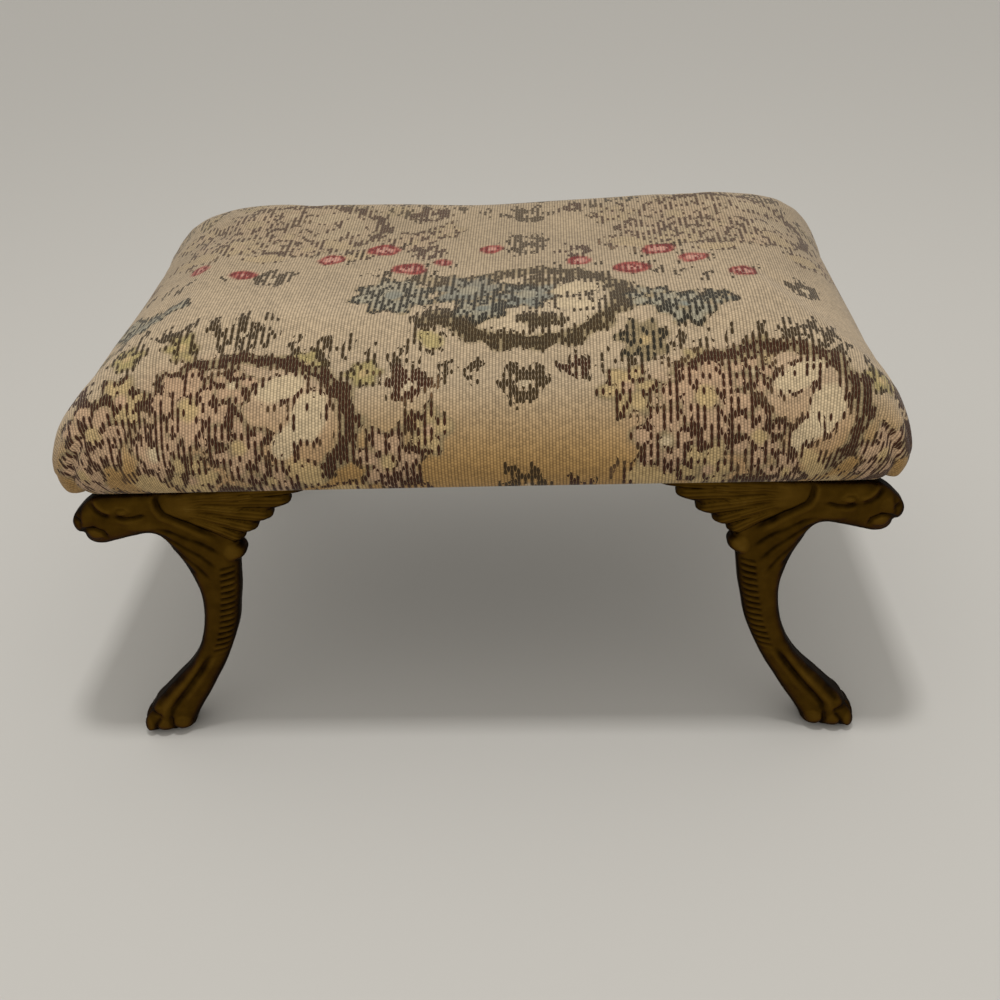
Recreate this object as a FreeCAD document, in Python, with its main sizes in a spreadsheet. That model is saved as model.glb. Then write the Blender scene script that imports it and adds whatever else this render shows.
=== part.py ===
import FreeCAD, Part
import math
import os
import Sketcher

# Low footstool: a stuffed pad on a softwood board, carried by four cast legs.
# Millimetres. X runs along the long side, Y from front to back, Z up.
# The origin lies on the floor under the middle of the pad.

Vector = FreeCAD.Vector

doc = FreeCAD.newDocument("footstool")
sheet = doc.addObject("Spreadsheet::Sheet", "Sheet")

# Driving dimensions
drivers = [
    ("pad_width", 340.0),
    ("pad_depth", 228.5),
    ("pad_corner", 22.0),
    ("bulge_height", 8.0),
    ("crown_rise", 38.0),
    ("edge_roll", 53.0),
    ("board_thick", 15.0),
    ("board_corner", 15.0),
    ("board_ease", 2.0),
    ("cover_thick", 1.2),
    ("wadding_thick", 3.6),
    ("calico_thick", 0.5),
    ("dust_thick", 0.6),
    ("cloth_gap", 0.3),
    ("cover_hem", 20.0),
    ("calico_hem", 12.0),
    ("dust_inset", 11.0),
    ("dust_corner", 8.0),
    ("leg_height", 130.5),
    ("leg_inset_x", 70.0),
    ("leg_inset_y", 11.45),
    ("toe_out", 6.0),
    ("flange_thick", 3.5),
    ("flange_length", 58.0),
    ("flange_front", 1.5),
    ("flange_back", 31.0),
    ("flange_corner", 7.0),
    ("feather_radius", 3.4),
    ("feather_root_x", 26.0),
    ("feather_thin", 7.0),
    ("feather_step", 0.7),
    ("knob_radius", 4.6),
    ("knob_x", 6.6),
    ("knob_drop", 33.0),
    ("cleft_reach", 56.0),
    ("cleft_length", 14.0),
    ("cleft_width", 1.6),
    ("cleft_height", 14.0),
    ("cleft_spread", 3.2),
    ("screw_shank", 3.5),
    ("screw_head", 6.8),
    ("screw_length", 14.0),
    ("screw_point", 3.0),
    ("screw_pitch", 19.0),
    ("screw_row", 22.5),
    ("screw_clear", 0.15),
    ("tack_head", 5.5),
    ("tack_head_thick", 0.6),
    ("tack_shank", 1.3),
    ("tack_length", 9.0),
    ("tack_point", 2.5),
    ("tack_clear", 0.1),
    ("cover_tack_inset", 6.0),
    ("cover_tack_pitch_long", 15.0),
    ("cover_tack_pitch_short", 18.0),
    ("dust_tack_inset", 4.0),
    ("dust_tack_clear", 15.0),
    ("dust_tack_pitch_short", 32.0),
]

# Sections of the shin and paw: share of the leg's height, reach outwards, half length, half thickness
shin_stations = [
    ("sole", 0.0, 52.3, 10.2, 8.5),
    ("paw", 0.035, 51.0, 12.4, 9.5),
    ("knuckle", 0.08, 48.2, 12.2, 9.4),
    ("instep", 0.15, 42.6, 11.4, 8.2),
    ("ankle", 0.21, 36.4, 9.8, 7.2),
    ("lower_shin", 0.27, 30.4, 8.4, 6.6),
    ("mid_shin", 0.36, 23.6, 7.4, 6.3),
    ("upper_shin", 0.47, 18.6, 7.4, 6.3),
    ("knee", 0.59, 16.4, 8.4, 6.3),
    ("breast", 0.71, 16.8, 11.4, 6.3),
    ("shoulder", 0.81, 18.6, 14.6, 6.0),
    ("withers", 1.0, 18.0, 16.0, 5.0),
]

# Sections of the neck and head: reach outwards, depth below the top, half height, half thickness
head_stations = [
    ("nape", 22.0, 13.0, 11.0, 5.4),
    ("throat", 36.0, 12.0, 10.2, 6.4),
    ("cheek", 46.0, 12.4, 10.8, 7.2),
    ("brow", 56.0, 13.4, 10.6, 6.8),
    ("muzzle", 63.5, 14.8, 9.0, 5.6),
    ("nose", 68.0, 14.2, 5.6, 3.8),
    ("tip", 70.3, 13.4, 2.4, 1.8),
]

# Feather tips from the top of the wing down: reach outwards, depth below the top, root depth below the top
feather_tips = [
    (-27.0, 5.0, 6.5),
    (-19.0, 10.0, 10.0),
    (-10.5, 15.5, 13.5),
    (-3.5, 20.0, 17.0),
    (3.0, 24.5, 21.0),
]

section_roundness = 0.8
crown_steps = 5
cover_tacks_long = 9
cover_tacks_short = 9
dust_tacks_long = 5
dust_tacks_short = 5
screws_per_leg = 3


def fill_sheet():
    rows = list(drivers)
    for name, share, reach, length, thick in shin_stations:
        rows += [(name + "_share", share), (name + "_reach", reach)]
        rows += [(name + "_half", length), (name + "_thick", thick)]
    for name, reach, drop, height, thick in head_stations:
        rows += [(name + "_out", reach), (name + "_drop", drop)]
        rows += [(name + "_tall", height), (name + "_wide", thick)]
    for number, (reach, drop, root) in enumerate(feather_tips):
        rows += [(f"feather_tip_{number}", reach), (f"feather_drop_{number}", drop)]
        rows += [(f"feather_root_{number}", root)]
    for row, (alias, value) in enumerate(rows, start=1):
        sheet.set(f"A{row}", alias)
        sheet.set(f"B{row}", str(value))
        sheet.setAlias(f"B{row}", alias)
    doc.recompute()


# Levels and outlines shared by several pieces, as expressions of the sheet
hem_level = "(Sheet.leg_height + Sheet.dust_thick)"
calico_level = f"({hem_level} + Sheet.cover_thick)"
board_level = f"({calico_level} + Sheet.calico_thick)"
board_top = f"({board_level} + Sheet.board_thick)"
bulge_level = f"({hem_level} + Sheet.bulge_height)"
cover_inner = "Sheet.cover_thick"
wadding_outer = f"({cover_inner} + Sheet.cloth_gap)"
wadding_inner = f"({wadding_outer} + Sheet.wadding_thick)"
calico_outer = f"({wadding_inner} + Sheet.cloth_gap)"
calico_inner = f"({calico_outer} + Sheet.calico_thick)"
stuffing_outer = f"({calico_inner} + Sheet.cloth_gap)"
board_half_x = f"(Sheet.pad_width / 2 - {stuffing_outer} - Sheet.board_ease)"
board_half_y = f"(Sheet.pad_depth / 2 - {stuffing_outer} - Sheet.board_ease)"
dust_half_x = f"({board_half_x} - Sheet.dust_inset)"
dust_half_y = f"({board_half_y} - Sheet.dust_inset)"
leg_x = "(Sheet.pad_width / 2 - Sheet.leg_inset_x)"
leg_y = "(Sheet.pad_depth / 2 - Sheet.leg_inset_y)"
screw_y = f"({leg_y} - Sheet.screw_row)"
tack_grip = "(Sheet.tack_length + Sheet.tack_clear)"


def number_of(text):
    value = sheet.evalExpression(text)
    return float(getattr(value, "Value", value))


def origin_feature(body, role):
    return [feature for feature in body.Origin.OriginFeatures if feature.Role == role][0]


def new_body(label):
    body = doc.addObject("PartDesign::Body", label)
    body.Label = label
    return body


def new_sketch(body, name, plane, offset="0"):
    sketch = body.newObject("Sketcher::SketchObject", name)
    sketch.AttachmentSupport = (origin_feature(body, plane), [""])
    sketch.MapMode = "FlatFace"
    sketch.setExpression("AttachmentOffset.Base.z", offset)
    return sketch


# Adds the plain rules of a sketch, then its sizes: name, kind, places and expression of each
def constrain(sketch, rules, sizes):
    sketch.addConstraint([Sketcher.Constraint(*rule) for rule in rules])
    first = sketch.ConstraintCount
    sketch.addConstraint([Sketcher.Constraint(kind, *places, number_of(text))
                          for name, kind, places, text in sizes])
    for index, (name, kind, places, text) in enumerate(sizes, start=first):
        sketch.renameConstraint(index, name)
        sketch.setExpression(f"Constraints.{name}", text)


def closed_loop(kind, count):
    return [(kind, index, 2, (index + 1) % count, 1) for index in range(count)]


def rounded_rectangle(sketch, left, right, bottom, top, radius):
    x0, x1, y0, y1, r = [number_of(text) for text in (left, right, bottom, top, radius)]
    corners = [(x1 - r, y0 + r), (x1 - r, y1 - r), (x0 + r, y1 - r), (x0 + r, y0 + r)]
    sides = [
        ((x0 + r, y0), (x1 - r, y0)),
        ((x1, y0 + r), (x1, y1 - r)),
        ((x1 - r, y1), (x0 + r, y1)),
        ((x0, y1 - r), (x0, y0 + r)),
    ]
    outline = []
    for turn, (side, corner) in enumerate(zip(sides, corners)):
        start, end = [Vector(x, y, 0) for x, y in side]
        circle = Part.Circle(Vector(*corner, 0), Vector(0, 0, 1), r)
        first = (turn - 1) * math.pi / 2
        outline += [Part.LineSegment(start, end), Part.ArcOfCircle(circle, first, first + math.pi / 2)]
    sketch.addGeometry(outline)
    rules = closed_loop("Tangent", 8)
    rules += [("Horizontal", 0), ("Vertical", 2), ("Horizontal", 4), ("Vertical", 6)]
    rules += [("Equal", 1, 3), ("Equal", 1, 5), ("Equal", 1, 7)]
    constrain(sketch, rules, [
        ("corner", "Radius", (1,), radius),
        ("left", "DistanceX", (-1, 1, 6, 1), left),
        ("right", "DistanceX", (-1, 1, 2, 1), right),
        ("bottom", "DistanceY", (-1, 1, 0, 1), bottom),
        ("top", "DistanceY", (-1, 1, 4, 1), top),
    ])


def centred_rectangle(sketch, half_x, half_y, radius):
    rounded_rectangle(sketch, f"-{half_x}", half_x, f"-{half_y}", half_y, radius)


def slot(sketch, root, tip, radius):
    start = Vector(*[number_of(text) for text in root], 0)
    end = Vector(*[number_of(text) for text in tip], 0)
    r = number_of(radius)
    along = math.atan2(end.y - start.y, end.x - start.x)
    side = Vector(-math.sin(along) * r, math.cos(along) * r, 0)
    quarter = math.pi / 2
    tip_circle = Part.Circle(end, Vector(0, 0, 1), r)
    root_circle = Part.Circle(start, Vector(0, 0, 1), r)
    sketch.addGeometry([
        Part.LineSegment(start - side, end - side),
        Part.ArcOfCircle(tip_circle, along - quarter, along + quarter),
        Part.LineSegment(end + side, start + side),
        Part.ArcOfCircle(root_circle, along + quarter, along + 3 * quarter),
    ])
    constrain(sketch, closed_loop("Tangent", 4) + [("Equal", 1, 3)], [
        ("radius", "Radius", (1,), radius),
        ("tip_x", "DistanceX", (-1, 1, 1, 3), tip[0]),
        ("tip_y", "DistanceY", (-1, 1, 1, 3), tip[1]),
        ("root_x", "DistanceX", (-1, 1, 3, 3), root[0]),
        ("root_y", "DistanceY", (-1, 1, 3, 3), root[1]),
    ])


def circles(sketch, centres, diameter):
    radius = number_of(diameter) / 2
    places = [Vector(number_of(x), number_of(y), 0) for x, y in centres]
    sketch.addGeometry([Part.Circle(place, Vector(0, 0, 1), radius) for place in places])
    sizes = [("diameter", "Diameter", (0,), diameter)]
    for number, (x, y) in enumerate(centres):
        sizes.append((f"x_{number}", "DistanceX", (-1, 1, number, 3), x))
        sizes.append((f"y_{number}", "DistanceY", (-1, 1, number, 3), y))
    constrain(sketch, [("Equal", 0, number) for number in range(1, len(centres))], sizes)


def pad(body, name, sketch, length, symmetric=False):
    feature = body.newObject("PartDesign::Pad", name)
    feature.Profile = sketch
    feature.setExpression("Length", length)
    feature.SideType = "Symmetric" if symmetric else "One side"
    return feature


def pocket_up(body, name, sketch, depth):
    feature = body.newObject("PartDesign::Pocket", name)
    feature.Profile = sketch
    feature.setExpression("Length", depth)
    feature.Reversed = True
    return feature


def loft(body, kind, name, sketches):
    feature = body.newObject(f"PartDesign::{kind}", name)
    feature.Profile = sketches[0]
    feature.Sections = sketches[1:]
    return feature


# A row of fasteners: count, pitch, place across the row, and whether it runs along X
def row_places(row):
    count, pitch, fixed, along_x = row
    places = []
    for index in range(count):
        along = f"{index - (count - 1) / 2} * {pitch}"
        places.append((along, fixed) if along_x else (fixed, along))
    return places


def side_rows(inset, long_count, long_pitch, short_count, short_pitch):
    line_x = f"({board_half_x} - {inset})"
    line_y = f"({board_half_y} - {inset})"
    return {
        "front": (long_count, long_pitch, "-" + line_y, True),
        "rear": (long_count, long_pitch, line_y, True),
        "left": (short_count, short_pitch, "-" + line_x, False),
        "right": (short_count, short_pitch, line_x, False),
    }


cover_tack_rows = side_rows(
    "Sheet.cover_tack_inset", cover_tacks_long, "Sheet.cover_tack_pitch_long",
    cover_tacks_short, "Sheet.cover_tack_pitch_short")
# The long rows of the dust cover stop short of the leg flanges
dust_tack_reach = f"({leg_x} - Sheet.flange_length / 2 - Sheet.dust_tack_clear)"
dust_tack_pitch_long = f"({dust_tack_reach} * 2 / {dust_tacks_long - 1})"
dust_tack_rows = side_rows(
    "(Sheet.dust_inset + Sheet.dust_tack_inset)", dust_tacks_long, dust_tack_pitch_long,
    dust_tacks_short, "Sheet.dust_tack_pitch_short")


def all_places(rows):
    return [place for row in rows.values() for place in row_places(row)]


# Each leg's side of the stool along X and along Y
leg_sides = {
    "front_left": (-1, -1),
    "front_right": (1, -1),
    "rear_left": (-1, 1),
    "rear_right": (1, 1),
}


def screw_places():
    places = []
    for x_sign, y_sign in leg_sides.values():
        for index in range(screws_per_leg):
            shift = index - (screws_per_leg - 1) / 2
            x = f"{x_sign} * {leg_x} + {shift} * Sheet.screw_pitch"
            places.append((x, f"{y_sign} * {screw_y}"))
    return places


# Upholstery

# The crown follows a quarter of an ellipse from the widest line to the flat top.
# Share 0 is its height at the top of the board, share 1 its end.
def crown_section(body, name, share, inset):
    climb = f"({board_top} + Sheet.crown_rise - {inset} - {bulge_level})"
    first = f"asin(({board_top} - {bulge_level}) / {climb})"
    angle = f"({first} + {share} * (90 deg - {first}))"
    drawn_in = f"({inset} + (Sheet.edge_roll - {inset}) * (1 - cos({angle})))"
    sketch = new_sketch(body, name, "XY_Plane", f"{bulge_level} + {climb} * sin({angle})")
    half_x = f"(Sheet.pad_width / 2 - {drawn_in})"
    half_y = f"(Sheet.pad_depth / 2 - {drawn_in})"
    centred_rectangle(sketch, half_x, half_y, f"(Sheet.pad_corner - {inset} / 2)")
    return sketch


def crown_sections(body, name, inset):
    return [crown_section(body, f"{name}_crown_{step}", step / crown_steps, inset)
            for step in range(crown_steps + 1)]


def wrapped_sections(body, name, inset, base_level, base_gap):
    base = new_sketch(body, name + "_base", "XY_Plane", base_level)
    base_x = f"({board_half_x} + {base_gap})"
    base_y = f"({board_half_y} + {base_gap})"
    centred_rectangle(base, base_x, base_y, f"(Sheet.board_corner + {base_gap})")
    bulge = new_sketch(body, name + "_bulge", "XY_Plane", bulge_level)
    half_x = f"(Sheet.pad_width / 2 - {inset})"
    half_y = f"(Sheet.pad_depth / 2 - {inset})"
    centred_rectangle(bulge, half_x, half_y, f"(Sheet.pad_corner - {inset} / 2)")
    return [base, bulge] + crown_sections(body, name, inset)


def open_underside(body, hem, level, thick):
    opening = new_sketch(body, "opening", "XY_Plane", level)
    centred_rectangle(opening, f"({board_half_x} - {hem})", f"({board_half_y} - {hem})", "Sheet.dust_corner")
    pocket_up(body, "underside", opening, thick)


def tack_holes(body, name, rows, level, depth):
    sketch = new_sketch(body, name + "_centres", "XY_Plane", level)
    circles(sketch, all_places(rows), "(Sheet.tack_shank + 2 * Sheet.tack_clear)")
    pocket_up(body, name, sketch, depth)


def screw_holes(body, name, level, depth):
    sketch = new_sketch(body, name + "_centres", "XY_Plane", level)
    circles(sketch, screw_places(), "(Sheet.screw_shank + 2 * Sheet.screw_clear)")
    pocket_up(body, name, sketch, depth)


def seat_board():
    body = new_body("seat_board")
    outline = new_sketch(body, "board_outline", "XY_Plane", board_level)
    centred_rectangle(outline, board_half_x, board_half_y, "Sheet.board_corner")
    pad(body, "board", outline, "Sheet.board_thick")
    cover_depth = f"({tack_grip} - Sheet.cover_thick - Sheet.calico_thick)"
    dust_depth = f"({cover_depth} - Sheet.dust_thick)"
    screw_reach = "(Sheet.screw_length + Sheet.screw_clear - Sheet.flange_thick)"
    screw_depth = f"({screw_reach} - ({board_level} - Sheet.leg_height))"
    tack_holes(body, "cover_tack_holes", cover_tack_rows, board_level, cover_depth)
    tack_holes(body, "dust_tack_holes", dust_tack_rows, board_level, dust_depth)
    screw_holes(body, "screw_holes", board_level, screw_depth)
    return body


def stuffing():
    body = new_body("stuffing")
    loft(body, "AdditiveLoft", "filling", crown_sections(body, "filling", stuffing_outer))
    return body


def wadding():
    body = new_body("wadding")
    loft(body, "AdditiveLoft", "layer", crown_sections(body, "layer", wadding_outer))
    loft(body, "SubtractiveLoft", "hollow", crown_sections(body, "hollow", wadding_inner))
    return body


def undercover():
    body = new_body("undercover")
    inner_gap = "Sheet.cloth_gap"
    outer_gap = "(Sheet.cloth_gap + Sheet.calico_thick)"
    skin = wrapped_sections(body, "skin", calico_outer, calico_level, outer_gap)
    loft(body, "AdditiveLoft", "calico", skin)
    inside = wrapped_sections(body, "inside", calico_inner, board_level, inner_gap)
    loft(body, "SubtractiveLoft", "hollow", inside)
    open_underside(body, "Sheet.calico_hem", calico_level, "Sheet.calico_thick")
    tack_holes(body, "cover_tack_holes", cover_tack_rows, calico_level, "Sheet.calico_thick")
    return body


def tapestry_cover():
    body = new_body("tapestry_cover")
    inner_gap = "(2 * Sheet.cloth_gap + Sheet.calico_thick)"
    outer_gap = f"({inner_gap} + Sheet.cover_thick)"
    skin = wrapped_sections(body, "skin", "0", hem_level, outer_gap)
    loft(body, "AdditiveLoft", "tapestry", skin)
    inside = wrapped_sections(body, "inside", cover_inner, calico_level, inner_gap)
    loft(body, "SubtractiveLoft", "hollow", inside)
    open_underside(body, "Sheet.cover_hem", hem_level, "Sheet.cover_thick")
    tack_holes(body, "cover_tack_holes", cover_tack_rows, hem_level, "Sheet.cover_thick")
    tack_holes(body, "dust_tack_holes", dust_tack_rows, hem_level, "Sheet.cover_thick")
    return body


def dust_cover():
    body = new_body("dust_cover")
    outline = new_sketch(body, "cloth_outline", "XY_Plane", "Sheet.leg_height")
    centred_rectangle(outline, dust_half_x, dust_half_y, "Sheet.dust_corner")
    pad(body, "cloth", outline, "Sheet.dust_thick")
    tack_holes(body, "dust_tack_holes", dust_tack_rows, "Sheet.leg_height", "Sheet.dust_thick")
    screw_holes(body, "screw_holes", "Sheet.leg_height", "Sheet.dust_thick")
    return body


# Fasteners

def turned_profile(sketch, points):
    places = [Vector(number_of(radius), number_of(level), 0) for radius, level in points]
    count = len(points)
    sketch.addGeometry([Part.LineSegment(start, end) for start, end in zip(places, places[1:] + places[:1])])
    sizes = []
    for index, (radius, level) in enumerate(points):
        sizes.append((f"radius_{index}", "DistanceX", (-1, 1, index, 1), radius))
        sizes.append((f"level_{index}", "DistanceY", (-1, 1, index, 1), level))
    constrain(sketch, closed_loop("Coincident", count), sizes)


def turned_row(label, profile, row, middle="0"):
    count, pitch, fixed, along_x = row
    body = new_body(label)
    sketch = new_sketch(body, "profile", "XZ_Plane")
    turned_profile(sketch, profile)
    turn = body.newObject("PartDesign::Revolution", "turned")
    turn.Profile = sketch
    turn.ReferenceAxis = (origin_feature(body, "Z_Axis"), [""])
    pattern = body.newObject("PartDesign::LinearPattern", "row")
    pattern.Originals = [turn]
    pattern.Direction = (origin_feature(body, "X_Axis" if along_x else "Y_Axis"), [""])
    pattern.Occurrences = count
    pattern.setExpression("Length", f"{count - 1} * {pitch}")
    body.Tip = pattern
    first = f"{middle} - {(count - 1) / 2} * {pitch}"
    body.setExpression("Placement.Base.x", first if along_x else fixed)
    body.setExpression("Placement.Base.y", fixed if along_x else first)
    return body


def tack_profile(seat):
    head = "Sheet.tack_head / 2"
    shank = "Sheet.tack_shank / 2"
    tip = f"{seat} + Sheet.tack_length"
    return [
        ("0", f"{seat} - Sheet.tack_head_thick"),
        (head, f"{seat} - Sheet.tack_head_thick / 2"),
        (head, seat),
        (shank, seat),
        (shank, f"{tip} - Sheet.tack_point"),
        ("0", tip),
    ]


def screw_profile():
    head = "Sheet.screw_head / 2"
    shank = "Sheet.screw_shank / 2"
    seat = "(Sheet.leg_height - Sheet.flange_thick)"
    tip = f"{seat} + Sheet.screw_length"
    return [
        ("0", seat),
        (head, seat),
        (shank, f"{seat} + {head} - {shank}"),
        (shank, f"{tip} - Sheet.screw_point"),
        ("0", tip),
    ]


def fasteners():
    groups = []
    for side, row in cover_tack_rows.items():
        groups.append(turned_row("cover_tacks_" + side, tack_profile(hem_level), row))
    for side, row in dust_tack_rows.items():
        groups.append(turned_row("dust_cover_tacks_" + side, tack_profile("Sheet.leg_height"), row))
    for name, (x_sign, y_sign) in leg_sides.items():
        row = (screws_per_leg, "Sheet.screw_pitch", f"{y_sign} * {screw_y}", True)
        groups.append(turned_row("leg_screws_" + name, screw_profile(), row, f"{x_sign} * {leg_x}"))
    return groups


# Cast legs: shin and paw, head, wing, knob and flange in one casting.
# The front right leg is modelled, with +X outwards and its flange towards +Y, and the others mirror it.

def swing(reach):
    return f"(-{reach} * tan(Sheet.toe_out))"


def shin(body):
    sketches = []
    for name, *sizes in shin_stations:
        reach = f"Sheet.{name}_reach"
        half = f"Sheet.{name}_half"
        thick = f"Sheet.{name}_thick"
        sketch = new_sketch(body, name, "XY_Plane", f"Sheet.{name}_share * Sheet.leg_height")
        rounded_rectangle(
            sketch, f"{reach} - {half}", f"{reach} + {half}",
            f"{swing(reach)} - {thick}", f"{swing(reach)} + {thick}", f"{section_roundness} * {thick}")
        sketches.append(sketch)
    loft(body, "AdditiveLoft", "shin", sketches)


def head(body):
    sketches = []
    for name, *sizes in head_stations:
        reach = f"Sheet.{name}_out"
        level = f"(Sheet.leg_height - Sheet.{name}_drop)"
        tall = f"Sheet.{name}_tall"
        wide = f"Sheet.{name}_wide"
        sketch = new_sketch(body, name, "YZ_Plane", reach)
        rounded_rectangle(
            sketch, f"{swing(reach)} - {wide}", f"{swing(reach)} + {wide}",
            f"{level} - {tall}", f"{level} + {tall}", f"{section_roundness} * {wide}")
        sketches.append(sketch)
    loft(body, "AdditiveLoft", "head", sketches)


def wing(body):
    for number in range(len(feather_tips)):
        sketch = new_sketch(body, f"feather_outline_{number}", "XZ_Plane")
        root = ("Sheet.feather_root_x", f"Sheet.leg_height - Sheet.feather_root_{number}")
        tip = (f"Sheet.feather_tip_{number}", f"Sheet.leg_height - Sheet.feather_drop_{number}")
        slot(sketch, root, tip, "Sheet.feather_radius")
        thick = f"Sheet.feather_thin + {number} * Sheet.feather_step"
        pad(body, f"feather_{number}", sketch, thick, symmetric=True)


def knob(body):
    ball = body.newObject("PartDesign::AdditiveSphere", "knob")
    ball.setExpression("Radius", "Sheet.knob_radius")
    ball.setExpression("Placement.Base.x", "Sheet.knob_x")
    ball.setExpression("Placement.Base.z", "Sheet.leg_height - Sheet.knob_drop")


def toes(body):
    for name, side in (("outer_cleft", -1), ("inner_cleft", 1)):
        sketch = new_sketch(body, name + "_outline", "XY_Plane")
        across = f"{swing('Sheet.cleft_reach')} + {side} * Sheet.cleft_spread"
        root = ("Sheet.cleft_reach", across)
        tip = ("Sheet.cleft_reach + Sheet.cleft_length", across)
        slot(sketch, root, tip, "Sheet.cleft_width / 2")
        pocket_up(body, name, sketch, "Sheet.cleft_height")


def flange(body):
    level = "(Sheet.leg_height - Sheet.flange_thick)"
    outline = new_sketch(body, "flange_outline", "XY_Plane", level)
    rounded_rectangle(
        outline, "-Sheet.flange_length / 2", "Sheet.flange_length / 2",
        "-Sheet.flange_front", "Sheet.flange_back", "Sheet.flange_corner")
    pad(body, "flange", outline, "Sheet.flange_thick")
    centres = new_sketch(body, "screw_centres", "XY_Plane", level)
    clear_shank = "(Sheet.screw_shank + 2 * Sheet.screw_clear)"
    circles(centres, row_places((screws_per_leg, "Sheet.screw_pitch", "Sheet.screw_row", True)), clear_shank)
    doc.recompute()
    holes = body.newObject("PartDesign::Hole", "screw_holes")
    holes.Profile = centres
    holes.ThreadType = "None"
    holes.DepthType = "ThroughAll"
    holes.setExpression("Diameter", clear_shank)
    holes.HoleCutType = "Countersink"
    holes.HoleCutCustomValues = True
    holes.setExpression("HoleCutDiameter", "Sheet.screw_head + 2 * Sheet.screw_clear")
    holes.HoleCutCountersinkAngle = 90
    holes.Reversed = True


def front_right_leg():
    body = new_body("leg_front_right")
    shin(body)
    head(body)
    wing(body)
    knob(body)
    toes(body)
    flange(body)
    body.setExpression("Placement.Base.x", leg_x)
    body.setExpression("Placement.Base.y", f"-{leg_y}")
    return body


def mirrored(source, label, normal):
    copy = doc.addObject("Part::Mirroring", label)
    copy.Label = label
    copy.Source = source
    copy.Normal = normal
    return copy


def legs():
    front_right = front_right_leg()
    front_left = mirrored(front_right, "leg_front_left", Vector(1, 0, 0))
    rear_right = mirrored(front_right, "leg_rear_right", Vector(0, 1, 0))
    rear_left = mirrored(front_left, "leg_rear_left", Vector(0, 1, 0))
    return [front_left, front_right, rear_left, rear_right]


def check(pieces):
    for item in doc.Objects:
        if "Invalid" in item.State or "Error" in item.State:
            raise RuntimeError(f"{item.Label} failed: {item.State}")
    for piece in pieces:
        if piece.Shape.isNull() or not piece.Shape.isValid():
            raise RuntimeError(f"{piece.Label} has no valid shape")


fill_sheet()
pieces = [seat_board(), stuffing(), wadding(), undercover(), tapestry_cover(), dust_cover()]
pieces += fasteners()
pieces += legs()
doc.recompute()
check(pieces)

os.makedirs("parts", exist_ok=True)
for piece in pieces:
    piece.Shape.exportStep(f"parts/{piece.Label}.step")
    box = piece.Shape.BoundBox
    print(piece.Label, len(piece.Shape.Solids), "solids", round(piece.Shape.Volume), "mm3",
          [round(size, 1) for size in (box.XMin, box.YMin, box.ZMin, box.XMax, box.YMax, box.ZMax)])
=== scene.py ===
import math
import bmesh
import bpy
import numpy as np
from mathutils import Matrix, Vector


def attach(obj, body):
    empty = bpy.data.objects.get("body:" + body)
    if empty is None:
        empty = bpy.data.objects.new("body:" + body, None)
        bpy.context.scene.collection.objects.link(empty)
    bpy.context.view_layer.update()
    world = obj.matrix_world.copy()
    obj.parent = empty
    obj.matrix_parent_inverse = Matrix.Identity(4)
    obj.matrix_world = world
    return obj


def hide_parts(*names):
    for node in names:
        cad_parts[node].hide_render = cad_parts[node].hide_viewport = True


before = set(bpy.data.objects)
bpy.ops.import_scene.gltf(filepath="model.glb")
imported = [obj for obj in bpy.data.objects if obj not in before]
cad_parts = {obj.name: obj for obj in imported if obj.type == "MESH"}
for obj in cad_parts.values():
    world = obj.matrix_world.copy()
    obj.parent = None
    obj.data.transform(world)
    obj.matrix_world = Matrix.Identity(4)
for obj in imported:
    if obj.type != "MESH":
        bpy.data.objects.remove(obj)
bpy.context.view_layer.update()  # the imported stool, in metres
scene = bpy.context.scene
scene.view_settings.view_transform = "Standard"
mm = 0.001


# selecting, applying and reading meshes
def onlySelect(piece):
    if bpy.context.object and bpy.context.object.mode != "OBJECT":
        bpy.ops.object.mode_set(mode="OBJECT")
    bpy.ops.object.select_all(action="DESELECT")
    if piece:
        piece.select_set(True)
        bpy.context.view_layer.objects.active = piece


def applyModifiers(piece):
    onlySelect(piece)
    for modifier in list(piece.modifiers):
        bpy.ops.object.modifier_apply(modifier=modifier.name)


def settlePlace(piece):
    onlySelect(piece)
    bpy.ops.object.transform_apply(location=True, rotation=True, scale=True)


def readPoints(piece):  # in millimetres
    points = np.empty(len(piece.data.vertices) * 3)
    piece.data.vertices.foreach_get("co", points)
    return points.reshape(-1, 3) / mm


def writePoints(piece, points):
    piece.data.vertices.foreach_set("co", (points * mm).ravel())
    piece.data.update()


def readNormals(piece):
    normals = np.empty(len(piece.data.vertices) * 3, np.float32)
    piece.data.vertex_normals.foreach_get("vector", normals)
    return normals.reshape(-1, 3).astype(float)


def faceOutwards(piece):
    onlySelect(piece)
    bpy.ops.object.mode_set(mode="EDIT")
    bpy.ops.mesh.select_all(action="SELECT")
    bpy.ops.mesh.normals_make_consistent(inside=False)
    bpy.ops.object.mode_set(mode="OBJECT")


def smoothShade(piece, angle=None):
    onlySelect(piece)
    if angle is None:
        bpy.ops.object.shade_smooth()
    else:
        bpy.ops.object.shade_smooth_by_angle(angle=math.radians(angle))


def remesh(piece, voxel):
    skin = piece.modifiers.new("remesh", "REMESH")
    skin.mode = "VOXEL"
    skin.voxel_size = voxel * mm
    applyModifiers(piece)


def ramp(value, low, high):  # smooth step from 0 at low to 1 at high
    share = np.clip((value - low) / (high - low), 0.0, 1.0)
    return share * share * (3 - 2 * share)


def lineDistance(points, line):  # distance to a polyline, and the share of the way along it
    line = np.asarray(line, float)
    lengths = np.linalg.norm(np.diff(line, axis=0), axis=1)
    starts = np.concatenate([[0], np.cumsum(lengths)])
    best = np.full(len(points), 1e9)
    along = np.zeros(len(points))
    for index, length in enumerate(lengths):
        run = line[index + 1] - line[index]
        share = np.clip(((points - line[index]) @ run) / max(length * length, 1e-9), 0, 1)
        gap = np.linalg.norm(points - line[index] - share[:, None] * run, axis=1)
        nearer = gap < best
        best[nearer] = gap[nearer]
        along[nearer] = (starts[index] + share[nearer] * length) / starts[-1]
    return best, along


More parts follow.
